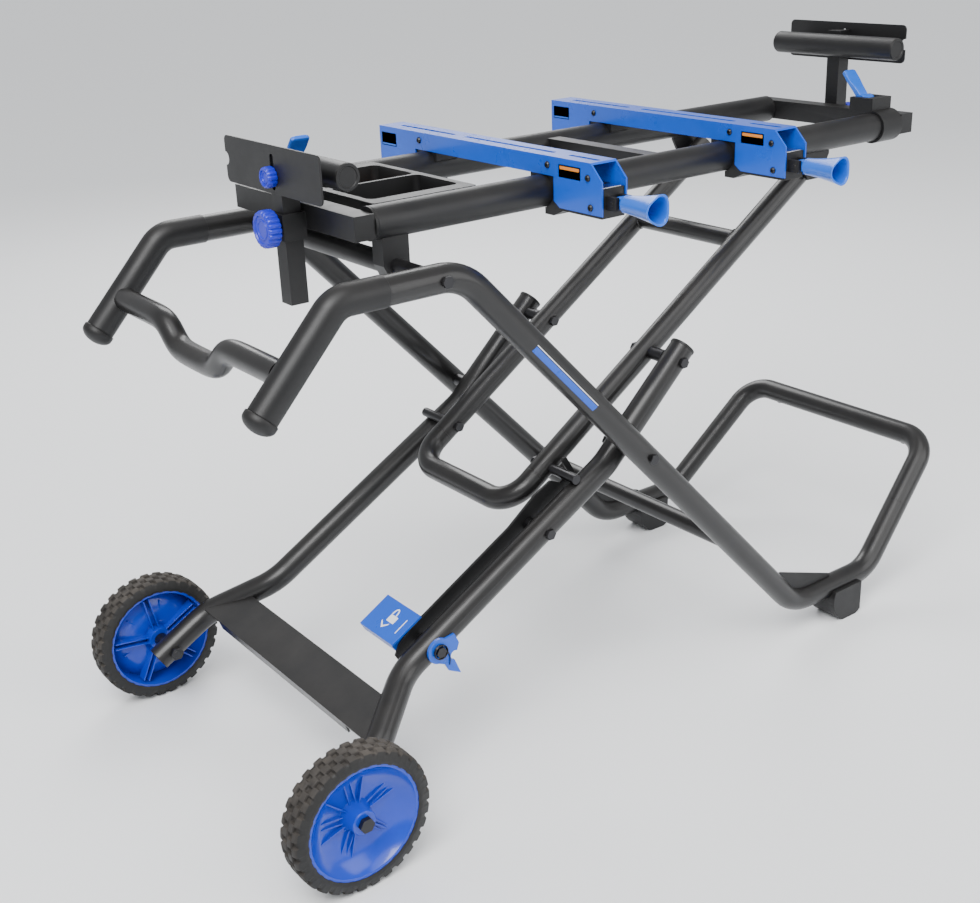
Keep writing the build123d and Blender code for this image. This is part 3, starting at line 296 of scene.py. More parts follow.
def joined(*parts):
    """Several skins as one list of points and faces."""
    points, faces, count = [], [], 0
    for part_points, part_faces in parts:
        points.append(np.asarray(part_points, float))
        faces += [[i + count for i in face] for face in part_faces]
        count += len(part_points)
    return np.vstack(points), faces


def add_piece(name, skin, finish, body, stands_for=(), bevel=0.0, sharp=35):
    """A mesh object from a skin: normals outward, shaded smooth, riding on its body."""
    points, faces = skin
    mesh = bpy.data.meshes.new(name)
    mesh.from_pydata(np.asarray(points).tolist(), [], faces)
    work = bmesh.new()
    work.from_mesh(mesh)
    bmesh.ops.remove_doubles(work, verts=work.verts, dist=1e-6)
    bmesh.ops.recalc_face_normals(work, faces=work.faces)
    work.to_mesh(mesh)
    work.free()
    return dress(name, mesh, finish, body, stands_for, bevel, sharp)


def dress(name, mesh, finish, body, stands_for=(), bevel=0.0, sharp=35):
    """Gives a mesh its finish, its rounded edges and its place on the frame."""
    mesh.shade_smooth()
    mesh.set_sharp_from_angle(angle=math.radians(sharp))
    piece = bpy.data.objects.new(name, mesh)
    bpy.context.scene.collection.objects.link(piece)
    mesh.materials.clear()
    mesh.materials.append(finish_for(finish))
    if bevel:
        edge = piece.modifiers.new("Edge", "BEVEL")
        edge.width = bevel
        edge.segments = 2
        edge.limit_method = "ANGLE"
        edge.angle_limit = math.radians(sharp)
        edge.harden_normals = True
    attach(piece, body)
    if stands_for:
        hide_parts(*stands_for)
    return piece


def refined(node, finish, bevel):
    """A copy of a CAD node with its loose triangles merged and its flat faces whole."""
    work = bmesh.new()
    work.from_mesh(frame["nodes"][node].data)
    bmesh.ops.remove_doubles(work, verts=work.verts, dist=1e-6)
    bmesh.ops.dissolve_limit(
        work, angle_limit=math.radians(0.4), verts=work.verts, edges=work.edges
    )
    mesh = bpy.data.meshes.new(f"{node}_surface")
    work.to_mesh(mesh)
    work.free()
    return dress(f"{node}_surface", mesh, finish, BODY_OF[node], [node], bevel)


def rounded(corners, radius, steps=6):
    """An outline whose corners are arcs, each drawn between its two tangent points."""
    corners = np.asarray(corners, float)
    radii = np.broadcast_to(radius, len(corners))
    outline = []
    for i, corner in enumerate(corners):
        back = corners[i - 1] - corner
        ahead = corners[(i + 1) % len(corners)] - corner
        back, ahead = back / np.linalg.norm(back), ahead / np.linalg.norm(ahead)
        half = math.acos(np.clip(back @ ahead, -1, 1)) / 2
        middle = (back + ahead) / np.linalg.norm(back + ahead)
        centre = corner + middle * radii[i] / math.sin(half)
        sweep = math.pi / 2 - half
        side = np.array([-middle[1], middle[0]])
        side = side if side @ back > 0 else -side
        angles = np.linspace(sweep, -sweep, steps)[:, None]
        outline.append(centre + radii[i] * (-np.cos(angles) * middle + np.sin(angles) * side))
    return np.vstack(outline)


def rectangle(across, up, radius, steps=6):
    """A rounded rectangle between two pairs of limits."""
    (left, right), (bottom, top) = across, up
    return rounded([(left, bottom), (right, bottom), (right, top), (left, top)], radius, steps)


def plate(wide, tall, radius, steps=6):
    """A rounded rectangle about its own middle, from its half width and half height."""
    return rectangle((-wide, wide), (-tall, tall), radius, steps)


def slab(outline, origin, across, up, thickness):
    """A flat plate: an outline drawn along two directions and given a thickness."""
    outline = np.asarray(outline, float)
    across, up = np.asarray(across, float), np.asarray(up, float)
    out = np.cross(across, up)
    flat = np.asarray(origin) + outline[:, :1] * across + outline[:, 1:] * up
    return shell(np.stack([flat, flat + out * thickness]))


def lathe(profile, centre, axis, places=96, factor=None):
    """A profile of (radius, distance) turned about an axis; factor scales each radius."""
    axis = Vector(axis).normalized()
    first = axis.orthogonal().normalized()
    second = axis.cross(first)
    radii, distances = np.asarray(profile, float).T
    angles = np.linspace(0, TURN, places, endpoint=False)
    scale = np.ones((len(radii), places)) if factor is None else factor(radii, angles)
    reach = (radii[:, None] * scale)[..., None]
    ring = np.cos(angles)[:, None] * np.array(first) + np.sin(angles)[:, None] * np.array(second)
    return np.asarray(centre) + reach * ring + distances[:, None, None] * np.array(axis)


def swept(path, radii, places=20):
    """A round section carried along a path, turned as little as possible between points."""
    path = np.asarray(path, float)
    radii = np.broadcast_to(radii, len(path))
    ahead = np.gradient(path, axis=0)
    ahead /= np.linalg.norm(ahead, axis=1)[:, None]
    normal = np.array(Vector(ahead[0]).orthogonal().normalized())
    normals = []
    for direction in ahead:
        normal = normal - direction * (normal @ direction)
        normal = normal / np.linalg.norm(normal)
        normals.append(normal)
    normals = np.array(normals)
    sides = np.cross(ahead, normals)
    angles = np.linspace(0, TURN, places, endpoint=False)[None, :, None]
    ring = np.cos(angles) * normals[:, None] + np.sin(angles) * sides[:, None]
    return path[:, None] + radii[:, None, None] * ring


def corners_of(node):
    """The low and high corners of a CAD node's box."""
    return tuple(np.array(corner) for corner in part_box(node))


def middle_of(node):
    """The middle of a CAD node's box, and half its size."""
    low, high = corners_of(node)
    return (low + high) / 2, (high - low) / 2


def joint_place(name):
    """A hinge's place in the frame."""
    return np.array(JOINT[name]["pos_m"])


def wheel_spokes(count, first, face):
    """Outward and sideways directions of evenly spaced spokes about a wheel's axle."""
    for turn in np.arange(count) * TURN / count + first:
        out = np.array([math.cos(turn), 0, math.sin(turn)])
        yield out, np.cross(out, face)


# ---- Pieces ----


def build_frame():
    """Every CAD node that keeps its shape, smoothed and with softly rounded edges."""
    sizes = bpy.context.scene.stand_sizes
    for node in sorted(frame["nodes"]):
        if node in REMADE:
            continue
        refined(node, SLOT_OF[node], sizes.edge_radius)


def build_tyre(side):
    """A tyre: a rounded tread with two rows of blocks, cut by grooves of smooth depth.

    The tread's radius falls by the groove depth wherever a block's edge is near.
    """
    sizes = bpy.context.scene.stand_sizes
    centre, half = middle_of(f"tyre_{side}")
    outer, width = half[0], half[1]
    rim = middle_of(f"hub_{side}")[1][0] - 0.0008
    lugs = sizes.tread_blocks
    wall_rings, steps_per_block = 8, 16
    tread = np.linspace(-0.94, 0.94, 61)
    wall_r = np.linspace(rim, outer - 0.012, wall_rings)
    bulge = width * (0.93 + 0.07 * np.sin(np.linspace(0.2, math.pi * 0.8, wall_rings)))
    radii = np.concatenate([wall_r, outer - 0.004 * np.abs(tread) ** 6, wall_r[::-1]])
    offsets = np.concatenate([-bulge, tread * width * 0.97, bulge[::-1]])
    angles = np.linspace(0, TURN, lugs * steps_per_block, endpoint=False)
    wall = np.full(wall_rings, 1.1)
    share = np.concatenate([-wall, tread, wall])[:, None]
    row = 0.5 * (np.floor(2 * share) % 2)
    slant = 0.10 * np.abs(share)
    phase = (angles[None] * lugs / TURN + row + slant) % 1.0
    groove = 1 / (1 + np.exp((np.abs(phase - 0.5) - 0.18) * 90))
    reach = 1 / (1 + np.exp((0.05 - np.abs(share)) * 60))
    row_edge = np.minimum(np.abs(share), np.abs(np.abs(share) - 0.5))
    middle = 1 / (1 + np.exp((row_edge - 0.035) * 120))
    on_tread = (np.abs(share) <= 1.0).astype(float)
    depth = sizes.tread_depth * np.maximum(groove * reach, 0.3 * middle) * on_tread
    scallop = 0.0010 * groove * (np.abs(share) > 1.0) * (radii[:, None] > outer - 0.02)
    reach_out = radii[:, None] - depth - scallop
    ring = np.stack([np.cos(angles), np.zeros_like(angles), np.sin(angles)], -1)
    points = centre + reach_out[..., None] * ring + offsets[:, None, None] * FAR_WAY
    edges = np.array([[[0, -1, 0]], [[0, 1, 0]]])
    inner = centre + (rim - 0.0001) * ring[None] + edges * width * 0.9
    points = np.concatenate([points, inner[::-1]])
    skin = shell(points, close_rows=True)
    piece = add_piece(f"tyre_{side}_tread", skin, "tyre_rubber", f"wheel_{side}",
                      [f"tyre_{side}"], sharp=50)
    dust_the_tread(piece.data, centre, outer, width)


def dust_the_tread(mesh, centre, outer, width):
    """Gives the block tops, whose middles lie near the outer radius, a dusty finish."""
    mesh.materials.append(finish_for("tread_rubber"))
    middles = np.empty(len(mesh.polygons) * 3)
    mesh.polygons.foreach_get("center", middles)
    away = middles.reshape(-1, 3) - centre
    top = np.hypot(away[:, 0], away[:, 2]) > outer - 0.0055
    dusty = top & (np.abs(away[:, 1]) < 0.93 * width)
    mesh.polygons.foreach_set("material_index", dusty.astype(np.int32))


def build_hub(side, sign):
    """A hub: a deep dish turned about the axle, with ten ribs in pairs and six short webs.

    Between its barrel and its rim the dish deepens as the cube of the way out.
    """
    node = f"hub_{side}"
    centre, half = middle_of(node)
    rim, width = half[0] + 0.0001, half[1]
    bore, dish_wall = 0.00605, 0.0035
    rib_shift, rib_back, rib_deep = 0.0045, 0.0165, 0.0175
    web_back, web_deep = 0.0045, 0.0075
    face = sign * FAR_WAY
    share = np.linspace(0, 1, 12)
    reach = 0.024 + 0.0525 * share
    depth = -0.003 + width * share ** 3
    front = np.stack([reach, depth], -1)
    back = np.stack([reach, depth - dish_wall], -1)[::-1]
    dish = np.vstack([
        [(bore, width), (0.0160, width), (0.0175, width - 0.0015), (0.0190, 0.0060)], front,
        [(0.0780, width - 0.0005), (rim - 0.001, width), (rim, width - 0.0012),
         (rim, -width + 0.0012), (rim - 0.001, -width), (0.0785, -width), (0.0775, -width + 0.002)],
        back, [(0.0190, -0.0040), (0.0175, -width), (bore, -width)],
    ])
    turned = lathe(dish, centre, face, 160)
    parts = [shell(turned, close_rows=True)]
    rib = rectangle((-0.001, 0.001), (0.017, 0.074), 0.0004, 2)
    for out, side_way in wheel_spokes(5, 0.5, face):
        towards = 1 if np.cross(side_way, out) @ face > 0 else -1
        for shift in (-rib_shift, rib_shift):
            origin = centre + side_way * shift - face * rib_back
            parts.append(slab(rib, origin, side_way, out, rib_deep * towards))
    web = rectangle((-0.0011, 0.0011), (0.016, 0.060), 0.0004, 2)
    for out, side_way in wheel_spokes(6, 0.3, face):
        towards = 1 if np.cross(side_way, out) @ face > 0 else -1
        parts.append(slab(web, centre - face * web_back, side_way, out, web_deep * towards))
    add_piece(f"hub_{side}_dish", joined(*parts), "hub_blue", f"wheel_{side}", [node],
              bevel=0.0004)


def build_latch_handle(side):
    """A trumpet handle: round at its root, flaring to a hollow mouth of three soft corners.

    Radius = r(s) (1 + k(s) cos 3a), with r and k growing along the handle.
    """
    node = f"latch_handle_{side}"
    near_end = corners_of(node)[0][1]
    hinge = joint_place(f"handle_lift_{side}")
    root = np.array([hinge[0], hinge[1] - 0.0125, hinge[2]])
    length = root[1] - near_end - 0.001
    angles = np.linspace(0, TURN, 72, endpoint=False)

    def ring(s, radius, corner):
        spread = radius * (1 + corner * np.cos(3 * (angles - math.pi)))
        return np.stack([
            root[0] + spread * np.cos(angles),
            np.full_like(angles, root[1] - length * s),
            root[2] + spread * np.sin(angles),
        ], -1)

    outside = [
        ring(s, 0.0118 + 0.0080 * s ** 1.5, 0.09 * s ** 1.3) for s in np.linspace(0, 0.97, 22)
    ]
    lip = [ring(0.99, 0.0199, 0.09), ring(1.0, 0.0192, 0.09), ring(1.0, 0.0178, 0.10)]
    inside = [
        ring(s, 0.0168 * (0.45 + 0.55 * s ** 0.8), 0.10 * s) for s in np.linspace(0.985, 0.35, 14)
    ]
    trumpet = shell(np.array(outside + lip + inside))
    barrel = [(0.0031, -0.0077), (0.0075, -0.0077), (0.008, -0.0072), (0.008, 0.0072),
              (0.0075, 0.0077), (0.0031, 0.0077)]
    eye = shell(lathe(barrel, hinge, (1, 0, 0), 40), close_rows=True)
    neck = rectangle((-0.0070, 0.0070), (0.0, 0.0115), 0.001, 3)
    root_block = slab(neck, root + np.array([0, 0.0085, -0.0068]), (1, 0, 0), (0, -1, 0), -0.0136)
    add_piece(f"{node}_trumpet", joined(trumpet, eye, root_block), "blue_plastic",
              f"latch_handle_{side}", [node], sharp=48)


def build_knob(node, scallops, stem):
    """A round knob with shallow scallops round its rim and a raised ring on its face.

    Its turned radius falls by up to 8.5 %, as the cube of a raised cosine, at each scallop.
    """
    low, high = corners_of(node)
    middle = (low + high) / 2
    sign = 1 if middle[0] > 0 else -1
    r = (high[2] - low[2]) / 2
    outer_x = high[0] if sign > 0 else low[0]
    inner_x = low[0] if sign > 0 else high[0]
    depth = abs(outer_x - inner_x)
    head = 0.018 if r > 0.02 else 0.013
    stem_end = max(depth - 0.006, head + 0.003)
    centre = np.array([outer_x, middle[1], middle[2]])
    profile = [
        (0.0005, -0.0022), (0.42 * r, -0.0022), (0.46 * r, -0.0010), (0.52 * r, -0.0010),
        (0.56 * r, -0.0022), (0.70 * r, -0.0020), (0.74 * r, -0.0002), (0.86 * r, 0.0),
        (0.95 * r, -0.0012), (r, -0.0040), (r, -head + 0.002), (0.94 * r, -head),
        (stem * 1.3, -head - 0.001), (stem, -head - 0.0025), (stem, -stem_end),
        (0.004, -stem_end), (0.004, -depth), (0.0005, -depth),
    ]

    def factor(radii, angles):
        wave = (0.5 + 0.5 * np.cos(scallops * angles)) ** 3
        strength = np.clip((radii / r - 0.75) / 0.2, 0, 1)[:, None]
        return 1 - 0.085 * wave[None] * strength

    skin = shell(lathe(profile, centre, (sign, 0, 0), scallops * 10, factor))
    add_piece(f"{node}_scalloped", skin, "knob_blue", BODY_OF[node], [node],
              sharp=40)


def build_cam_lever(side, sign):
    """A cam lever: a soft paddle that widens to its tip, on a round hub about its pin.

    Each section is a soft square, |cos a|^0.45 by |sin a|^0.45, with a bell-shaped dip on top.
    """
    node = f"cam_lever_{side}"
    hinge = joint_place(f"cam_lever_turn_{side}")
    low, high = corners_of(node)
    half_width, tip_inset = (high[0] - low[0]) / 2, 0.004
    outer_y = low[1] if sign < 0 else high[1]
    tip = np.array([hinge[0], outer_y, high[2]]) + np.array([0, -sign * tip_inset, -tip_inset])
    along = tip - hinge
    length = np.linalg.norm(along)
    along = along / length
    across = np.array([1.0, 0, 0])
    thick = np.cross(across, along)
    angles = np.linspace(0, TURN, 64, endpoint=False)
    squareness, rings = 0.45, []
    for s in np.concatenate([[0.05], np.linspace(0.08, 0.96, 18), [0.985, 0.998, 1.0]]):
        ease = 1 - max(0, (s - 0.93) / 0.07) ** 3 * 0.35
        wide = half_width * (0.80 + 0.30 * min(1, s * 1.5) ** 2) * ease
        deep = (0.0062 - 0.0026 * s) * (ease if s < 0.999 else 0.55)
        corner = np.abs(np.cos(angles)) ** squareness * np.sign(np.cos(angles))
        rise = np.abs(np.sin(angles)) ** squareness * np.sign(np.sin(angles))
        dip = 0.0016 * math.exp(-((s - 0.66) / 0.22) ** 2) * (1 - np.abs(corner) ** 4) * (rise > 0)
        rings.append(
            hinge + along * length * s + corner[:, None] * wide * across
            + (rise * deep - dip)[:, None] * thick
        )
    paddle = shell(np.array(rings))
    w = half_width
    profile = [(0.00405, -w), (0.0100, -w), (0.0108, -w + 0.001), (0.0108, w - 0.001),
               (0.0100, w), (0.00405, w)]
    hub = shell(lathe(profile, hinge, (1, 0, 0), 56), close_rows=True)
    add_piece(f"{node}_paddle", joined(paddle, hub), "blue_plastic", node, [node],
              sharp=45)


def grip_line():
    """The mouth of the near grip and the outward direction of its tube."""
    low, high = corners_of("handle_grip_near")
    seam_x, top_z = high[0], high[2]
    radius = (high[1] - low[1]) / 2
    tip = np.array([low[0], (low[1] + high[1]) / 2, low[2]])
    bend = np.array([seam_x - 0.0656, tip[1], top_z - radius])
    out = tip + np.array([radius * 0.725, 0, radius * 0.689]) - bend
    out /= np.linalg.norm(out)
    return out, radius


def build_grip_caps():
    """Domed rubber caps: a short collar and a quarter-round dome, turned about the grip."""
    low, high = corners_of("handle_caps")
    out, radius = grip_line()
    proud, margin = 0.0019, 0.0022
    skins = []
    for _, sign in NEAR_FAR:
        y = low[1] if sign < 0 else high[1]
        collar = radius + proud
        y = y - sign * (radius + margin)
        mouth = np.array([GRIP_MOUTH[0], y, GRIP_MOUTH[1]])
        rise = np.linspace(0, math.pi / 2, 16)
        dome = np.stack([collar * np.cos(rise), 0.006 + 0.0135 * np.sin(rise)], -1)
        dome[-1, 0] = 0.0003
        profile = np.vstack([[(0.0003, 0), (collar - 0.001, 0), (collar, 0.001)], dome])
        skins.append(shell(lathe(profile, mouth, out, 72)))
    add_piece("grip_caps", joined(*skins), "black_plastic", "main_frame", ["handle_caps"],
              sharp=50)


def build_handle_bar():
    """The carrying bar: its middle dips by a smooth bell, z = z0 - dip / (1 + (y/w)^6)."""
    low, high = corners_of("handle_bar")
    radius = (high[0] - low[0]) / 2
    middle = (low + high) / 2
    top = high[2] - radius
    dip = high[2] - low[2] - 2 * radius
    reach = (high[1] - low[1]) / 2
    run = np.linspace(-reach, reach, 161)
    fall = 0.5 + 0.5 * np.tanh((0.072 - np.abs(run)) / 0.019)
    path = np.stack([np.full_like(run, middle[0]), middle[1] + run, top - dip * fall], -1)
    add_piece("carrying_bar", shell(swept(path, radius, 40)), "powder_black", "main_frame",
              ["handle_bar"], sharp=60)


def leg_direction():
    """The wheel leg's direction in the side view, from the wheel up to the frame."""
    run = joint_place("pedal_press") - joint_place("wheel_spin_near")
    run[1] = 0
    return run / np.linalg.norm(run)


def build_pedal_marks():
    """White marks on the pedal: a closed padlock, an arrow head and a line, as thin plates."""
    along = leg_direction()
    up = np.array([-along[2], 0, along[0]])
    low, high = corners_of("latch_pedal")
    pivot = joint_place("pedal_press")
    middle = pivot + along * -0.241 + up * 0.02602
    middle[1] = (low[1] + high[1]) / 2
    film = 0.00025
    lift = -film if np.cross(along, FAR_WAY) @ up < 0 else film

    def mark(outline, at_u, at_y):
        origin = middle + along * at_u + FAR_WAY * at_y
        return slab(outline, origin, along, FAR_WAY, lift)

    case = mark(plate(0.006, 0.0085, 0.001, 3), 0.002, -0.004)
    angles = np.linspace(0, math.pi, 18)
    outer = np.stack([0.0125 * np.sin(angles) * 0.9, 0.0058 * np.cos(angles)], -1)
    inner = np.stack([0.0098 * np.sin(angles[::-1]) * 0.9, 0.0032 * np.cos(angles[::-1])], -1)
    shackle = mark(np.vstack([outer, inner]), 0.0085, -0.001)
    tip, half, thin = 0.0085, 0.0085, 0.0026
    notch = thin - tip + 0.0016
    head = [(-tip, 0), (0.0, half), (thin, half), (notch, 0), (thin, -half), (0.0, -half)]
    arrow = mark(head, -0.0085, 0.002)
    line = mark(plate(0.013, 0.0008, 0.0004, 2), 0.0, -0.029)
    add_piece("pedal_marks", joined(case, shackle, arrow, line), "mark_white", "pedal_latch")


def build_hook_spring():
    """The hook's spring: three coils round its bolt, with one end run back under the tube."""
    hinge = joint_place("hook_swing")
    tube_side = corners_of("transport_hook")[0][1] - 0.0012
    coil_radius, pitch, wire = 0.0105, 0.0012, 0.0008
    turns = np.linspace(0, 3.1 * TURN, 90)
    coil = np.stack([
        hinge[0] + coil_radius * np.cos(turns),
        tube_side - pitch * turns / TURN,
        hinge[2] + coil_radius * np.sin(turns),
    ], -1)
    s = np.linspace(0, 1, 14)[1:, None]
    drop, bow = np.array([0.004, 0.0, -0.026]), np.array([0.003, 0, 0])
    tail = coil[0] + s * drop + np.sin(s * math.pi) * bow
    path = np.vstack([tail[::-1], coil])
    add_piece("hook_spring", shell(swept(path, wire, 10)), "zinc_steel", "wheel_frame", sharp=60)


def build_screws():
    """Small dished screws on both sides of the beams, turned about their axes."""
    profile = [(0.0003, 0.0012), (0.0016, 0.0012), (0.002, 0.0026), (0.0033, 0.0028),
               (0.0046, 0.0014), (0.0048, 0.0)]
    for side, _ in SIDES:
        low, high = corners_of(f"saw_beam_{side}")
        skins = []
        for y_in, z_in in SCREW_PLACES:
            y = low[1] + y_in if y_in > 0 else high[1] + y_in
            for x, sign in ((low[0], -1), (high[0], 1)):
                skins.append(shell(lathe(profile, (x, y, high[2] - z_in), (sign, 0, 0), 28)))
        add_piece(f"beam_screws_{side}", joined(*skins), "zinc_steel", f"bracket_{side}", sharp=40)


def build_labels():
    """Plain labels on the beams: a thin dark plate with one coloured bar and no lettering."""
    for side, _ in SIDES:
        low, high = corners_of(f"saw_beam_{side}")
        plates, warm, cool, film = [], [], [], 0.0002
        for x, out in ((low[0], -1), (high[0], 1)):
            across = np.array([0, -out, 0])

            def bar(y, z, wide, tall, lift):
                place = (x + out * lift, y, z)
                return slab(plate(wide, tall, 0.0006, 3), place, across, (0, 0, 1), film)

            near_y, far_y = low[1] + 0.064, high[1] - 0.026
            plates += [bar(near_y, high[2] - 0.017, 0.022, 0.0085, 0.0)]
            plates += [bar(far_y, high[2] - 0.019, 0.020, 0.010, 0.0)]
            warm.append(bar(near_y, high[2] - 0.0125, 0.0195, 0.0022, film))
            cool.append(bar(far_y, high[2] - 0.0265, 0.0185, 0.0011, film))
        add_piece(f"beam_labels_{side}", joined(*plates), "label_black", f"bracket_{side}")
        add_piece(f"beam_label_bars_{side}", joined(*warm), "label_orange", f"bracket_{side}")
        add_piece(f"beam_label_lines_{side}", joined(*cool), "blue_plastic", f"bracket_{side}")


def build_stripe():
    """A blue stripe and a white rule on the near diagonal tube, bent to its round side."""
    pivot = joint_place("wheel_frame_fold")
    run = DIAGONAL_RUN
    up = np.array([-run[2], 0, run[0]])
    radius, film = TUBE_RADIUS, 0.00022
    outer_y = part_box("main_tube_near")[0][1] + radius
    origin = np.array([pivot[0], outer_y, pivot[2]])
    for name, finish, slot, start, end, low_turn, high_turn in (
        ("tube_stripe", "blue_paint", "blue_paint", -0.30, -0.15, -0.62, -0.15),
        ("tube_rule", "mark_white", None, -0.30, -0.15, -0.08, -0.02),
    ):
        s = np.linspace(start, end, 30)[:, None]
        a = np.linspace(low_turn, high_turn, 12)[None]
        inside = (origin + s[..., None] * run + (radius * np.sin(a))[..., None] * up
                  + (-radius * np.cos(a))[..., None] * FAR_WAY)
        outward = np.sin(a)[..., None] * up - np.cos(a)[..., None] * FAR_WAY
        outside = inside + film * outward
        loop = np.concatenate([outside, inside[:, ::-1]], 1)
        add_piece(name, shell(loop), finish, "main_frame", sharp=50)


def weld_bead(node, tube_y, tube_radius, run, sign):
    """A rippled bead along the curve where a round bar meets the side of a round tube.

    The curve's depth is the tube's radius less the root of radius squared less offset squared.
    """
    centre, half = middle_of(node)
    radius = half[0]
    points, ripples = 180, 34
    angles = np.linspace(0, TURN, points, endpoint=False)
    x, z = radius * np.cos(angles), radius * np.sin(angles)
    off = x * -run[2] + z * run[0]
    y = sign * (tube_y - np.sqrt(tube_radius ** 2 - np.clip(off, -tube_radius, tube_radius) ** 2))
    path = np.stack([centre[0] + x, centre[1] + y, centre[2] + z], -1)
    ahead = np.roll(path, -1, 0) - np.roll(path, 1, 0)
    ahead /= np.linalg.norm(ahead, axis=1)[:, None]
    out = np.stack([np.cos(angles), np.zeros(points), np.sin(angles)], -1)
    side = np.cross(ahead, out)
    bead = 0.0019 + 0.0004 * np.sin(angles * ripples)
    turn = np.linspace(0, TURN, 8, endpoint=False)[None, :, None]
    ring = np.cos(turn) * out[:, None] + np.sin(turn) * side[:, None]
    return shell(path[:, None] + bead[:, None, None] * ring, close_rows=True)


def build_welds():
    """Weld beads round the ends of the two crossbars."""
    for node, body, tube_y, radius, run in (
        ("frame_crossbar", "main_frame", 0.239, TUBE_RADIUS, DIAGONAL_RUN),
        ("lift_crossbar", "lift_frame", 0.118, 0.0175, LIFT_RUN),
    ):
        beads = [weld_bead(node, tube_y, radius, run, sign) for _, sign in NEAR_FAR]
        add_piece(f"{node}_welds", joined(*beads), "powder_black", body, sharp=70)


def build_tray_fittings():
    """Thin ribs on the tray's floor and a strip along its far cell."""
    low, high = corners_of("tray")
    floor = low[2] + 0.0032
    rib = plate(0.058, 0.0012, 0.0008, 3)
    ribs = []
    for y in np.linspace(low[1] + 0.045, high[1] - 0.045, 9):
        place = ((low[0] + high[0]) / 2, y, floor)
        ribs.append(slab(rib, place, (1, 0, 0), (0, 1, 0), 0.0022))
    add_piece("tray_ribs", joined(*ribs), "black_plastic", "top_frame")
    place = (high[0] - 0.020, high[1] - 0.075, floor + 0.001)
    strip = slab(plate(0.0022, 0.040, 0.001, 3), place, (1, 0, 0), (0, 1, 0), 0.0012)
    add_piece("tray_strip", strip, "label_orange", "top_frame")


def build_latch_clips():
    """A bright steel clip on top of each latch block, inside the beam's open end."""
    for side, _ in SIDES:
        low, high = corners_of(f"beam_clamp_{side}")
        open_end = corners_of(f"saw_beam_{side}")[0][1]
        middle = (low[0] + high[0]) / 2
        place = (middle, open_end + 0.0035, CLIP_Z)
        clip = slab(rectangle((-0.017, 0.017), (0, 0.020), 0.002, 4), place, (1, 0, 0), (0, 1, 0), 0.0012)
        add_piece(f"latch_clip_{side}", clip, "bright_steel", f"bracket_{side}", bevel=0.0003)


def build_bar_caps():
    """Pressed-in end caps on the support bars: a disc with a raised rim, turned about the bar."""
    for side, _ in SIDES:
        centre, half = middle_of(f"support_bar_{side}")
        radius = min(half[0], half[2])
        skins = []
        for sign in (-1, 1):
            end = centre + np.array([0, sign * half[1], 0])
            profile = [
                (0.0003, 0.0004), (0.72 * radius, 0.0004), (0.76 * radius, 0.0014),
                (0.95 * radius, 0.0014), (0.985 * radius, 0.0), (0.985 * radius, -0.004), (0.0003, -0.004),
            ]
            skins.append(shell(lathe(profile, end, (0, sign, 0), 64)))
        add_piece(f"bar_caps_{side}", joined(*skins), "black_plastic", f"post_{side}",
                  sharp=40)


def build_stage():
    """A pale floor, a pale sky, a soft sun, three soft lamps and the camera."""
    stage = bpy.context.scene.stand_stage
    half = stage.floor_size
    corners = [(-half, -half, 0), (half, -half, 0), (half, half, 0), (-half, half, 0)]
    mesh = bpy.data.meshes.new("floor")
    mesh.from_pydata(corners, [], [(0, 1, 2, 3)])
    floor = bpy.data.objects.new("floor", mesh)
    link = bpy.context.scene.collection.objects.link
    link(floor)
    material = bpy.data.materials.new("pale_floor")
    material.use_nodes = True
    shader = material.node_tree.nodes["Principled BSDF"]
    shader.inputs["Base Color"].default_value = (*stage.floor_colour, 1)
    shader.inputs["Roughness"].default_value = 0.9
    mesh.materials.append(material)
    world = bpy.data.worlds.new("studio")
    world.use_nodes = True
    world.node_tree.nodes["Background"].inputs[0].default_value = (0.95, 0.97, 1.0, 1)
    world.node_tree.nodes["Background"].inputs[1].default_value = stage.sky_strength
    bpy.context.scene.world = world
    even = bpy.data.lights.new("even", "SUN")
    even.energy = stage.even_power
    even.angle = math.radians(60)
    high_sun = bpy.data.objects.new("even", even)
    high_sun.rotation_euler = (math.radians(22), math.radians(-14), 0)
    link(high_sun)
    for name, place, width, power in (
        ("key", (-2.2, -1.6, 3.4), 2.2, stage.key_power),
        ("fill", (1.6, -3.0, 1.8), 2.5, stage.key_power * 0.35),
        ("back", (1.2, 2.6, 2.6), 2.0, stage.key_power * 0.5),
    ):
        light = bpy.data.lights.new(name, "AREA")
        light.energy = power
        light.size = width
        lamp = bpy.data.objects.new(name, light)
        lamp.location = place
        aim = Vector((0, 0, 0.5)) - lamp.location
        lamp.rotation_euler = aim.to_track_quat("-Z", "Y").to_euler()
        link(lamp)
    yaw, pitch, roll = (math.radians(a) for a in CAMERA_ANGLES)
    level = math.cos(pitch)
    look = Vector((level * math.cos(yaw), level * math.sin(yaw), -math.sin(pitch)))
    right = Vector((math.sin(yaw), -math.cos(yaw), 0))
    up = right.cross(look)
    tilted_right = math.cos(roll) * right + math.sin(roll) * up
    tilted_up = -math.sin(roll) * right + math.cos(roll) * up
    turn = Matrix((tilted_right, tilted_up, -look)).transposed().to_4x4()
    camera_data = bpy.data.cameras.new("camera")
    camera_data.sensor_width = 36.0
    camera_data.lens = stage.lens
    camera_data.shift_x = 0.0032
    camera = bpy.data.objects.new("camera", camera_data)
    camera.matrix_world = Matrix.Translation(CAMERA_PLACE) @ turn
    link(camera)
    bpy.context.scene.camera = camera

# ---- Settings ----


def colour_setting(name, words, value):
    """A colour that can be changed in the sidebar."""
    return bpy.props.FloatVectorProperty(
        name=name, description=words, subtype="COLOR", size=3, min=0, max=1, default=value
    )


